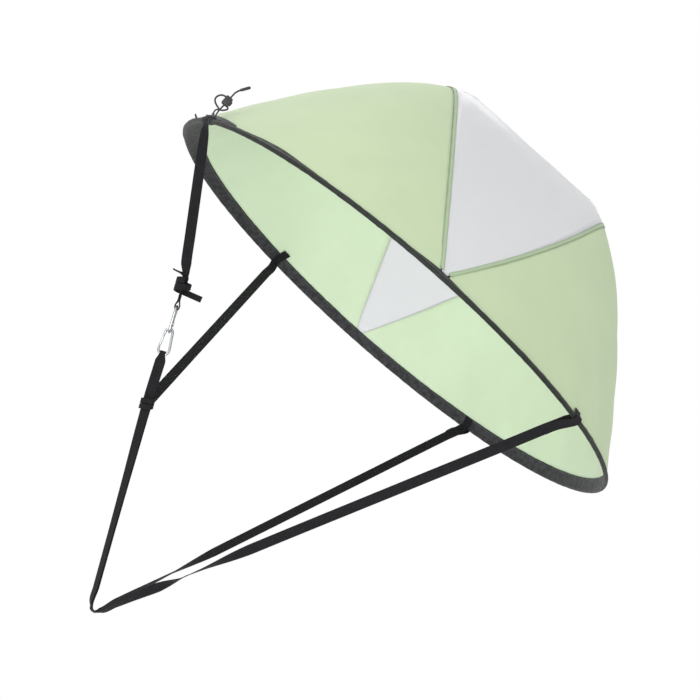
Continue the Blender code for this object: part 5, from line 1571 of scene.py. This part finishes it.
# cord lock: hollow body, sprung plunger and spring
lock = {
    "left": 0.0074, "right": 0.0066, "height": 0.0180, "depth": 0.0124, "wall": 0.0012, "round": 0.0022,
    "boreRound": 0.0008, "gap": 0.0004, "slotHalf": 0.0018, "slotDepth": 0.00335, "slotRound": 0.0009,
    "gripHeight": 0.0062, "gripHalf": 0.0005, "gripDeep": 0.0006, "travel": 0.0020, "smoothDeg": 35,
}
plunger = {
    "height": 0.0084, "depth": 0.0088, "inner": 0.0032, "outer": 0.0092, "round": 0.0009, "slotRound": 0.0006,
    "dishHalf": 0.0026, "dishDeep": 0.0005, "dishRound": 0.0005,
}
lockSpring = {"wire": 0.00025, "radius": 0.0019, "turns": 2, "steps": 72, "clear": 0.00055, "length": 0.0019}


def makeLockBody(place, boreEnd):
    deep, tall, past = lock["depth"] / 2, lock["height"] / 2, cutter["past"]
    boreDeep, boreTall = plunger["depth"] / 2 + lock["gap"], plunger["height"] / 2 + lock["gap"]
    slotHalf, slotDeep = lock["slotHalf"], lock["slotDepth"]
    body = boxAt("lockBody", (-lock["left"], -deep, -tall), (lock["right"], deep, tall), lock["round"])
    cutAway(body, boxAt("lockBore", (-boreEnd, -boreDeep, -boreTall),
                        (lock["right"] + past, boreDeep, boreTall), lock["boreRound"]))
    cutAway(body, boxAt("lockCordWay", (-slotHalf, -slotDeep, -tall - past),
                        (slotHalf, slotDeep, tall + past), lock["slotRound"]))
    for height in (-lock["gripHeight"], lock["gripHeight"]):
        cutAway(body, boxAt("lockGrip", (-lock["left"] - past, -deep - past, height - lock["gripHalf"]),
                            (-lock["left"] + lock["gripDeep"], deep + past, height + lock["gripHalf"])))
    finishPiece(body, place, "lock", "cord_lock_body", "cord_lock", lock["smoothDeg"])


def makePlunger(place):
    deep, tall, past = plunger["depth"] / 2, plunger["height"] / 2, cutter["past"]
    slotHalf, slotDeep, dish = lock["slotHalf"], lock["slotDepth"], plunger["dishHalf"]
    button = boxAt("lockPlunger", (-plunger["inner"], -deep, -tall), (plunger["outer"], deep, tall),
                   plunger["round"])
    cutAway(button, boxAt("plungerWay", (-slotHalf, -slotDeep, -tall - past),
                          (slotHalf + lock["travel"], slotDeep, tall + past), plunger["slotRound"]))
    cutAway(button, boxAt("plungerDish", (plunger["outer"] - plunger["dishDeep"], -dish, -dish),
                          (plunger["outer"] + past, dish, dish), plunger["dishRound"]))
    finishPiece(button, place, "lock", "cord_lock_plunger", "lock_plunger", lock["smoothDeg"])


def makeLock():
    place = Matrix.Translation(Vector(tether["lock"]))
    boreEnd = lock["left"] - lock["wall"]
    makeLockBody(place, boreEnd)
    makePlunger(place)
    coil = [(along, y, z) for y, z, along in coilPoints(lockSpring, lockSpring["clear"] - boreEnd)]
    spring = cordPiece("lockSpring", coil, lockSpring["wire"], "cord_lock_spring", "spring", smooth=1, sides=10,
                       frameAt=place, body="cord_lock")[0]
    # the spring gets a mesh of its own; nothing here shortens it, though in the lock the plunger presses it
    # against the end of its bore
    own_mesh(spring)


makeLock()
print("cord lock moulded")


# the rod and its ferrule inside the sleeve keep their CAD shapes
for node, finish in (("hoop_rod", "rod"), ("hoop_ferrule", "plated")):
    for slot in frame["nodes"][node].material_slots:
        slot.material = finishes[finish]
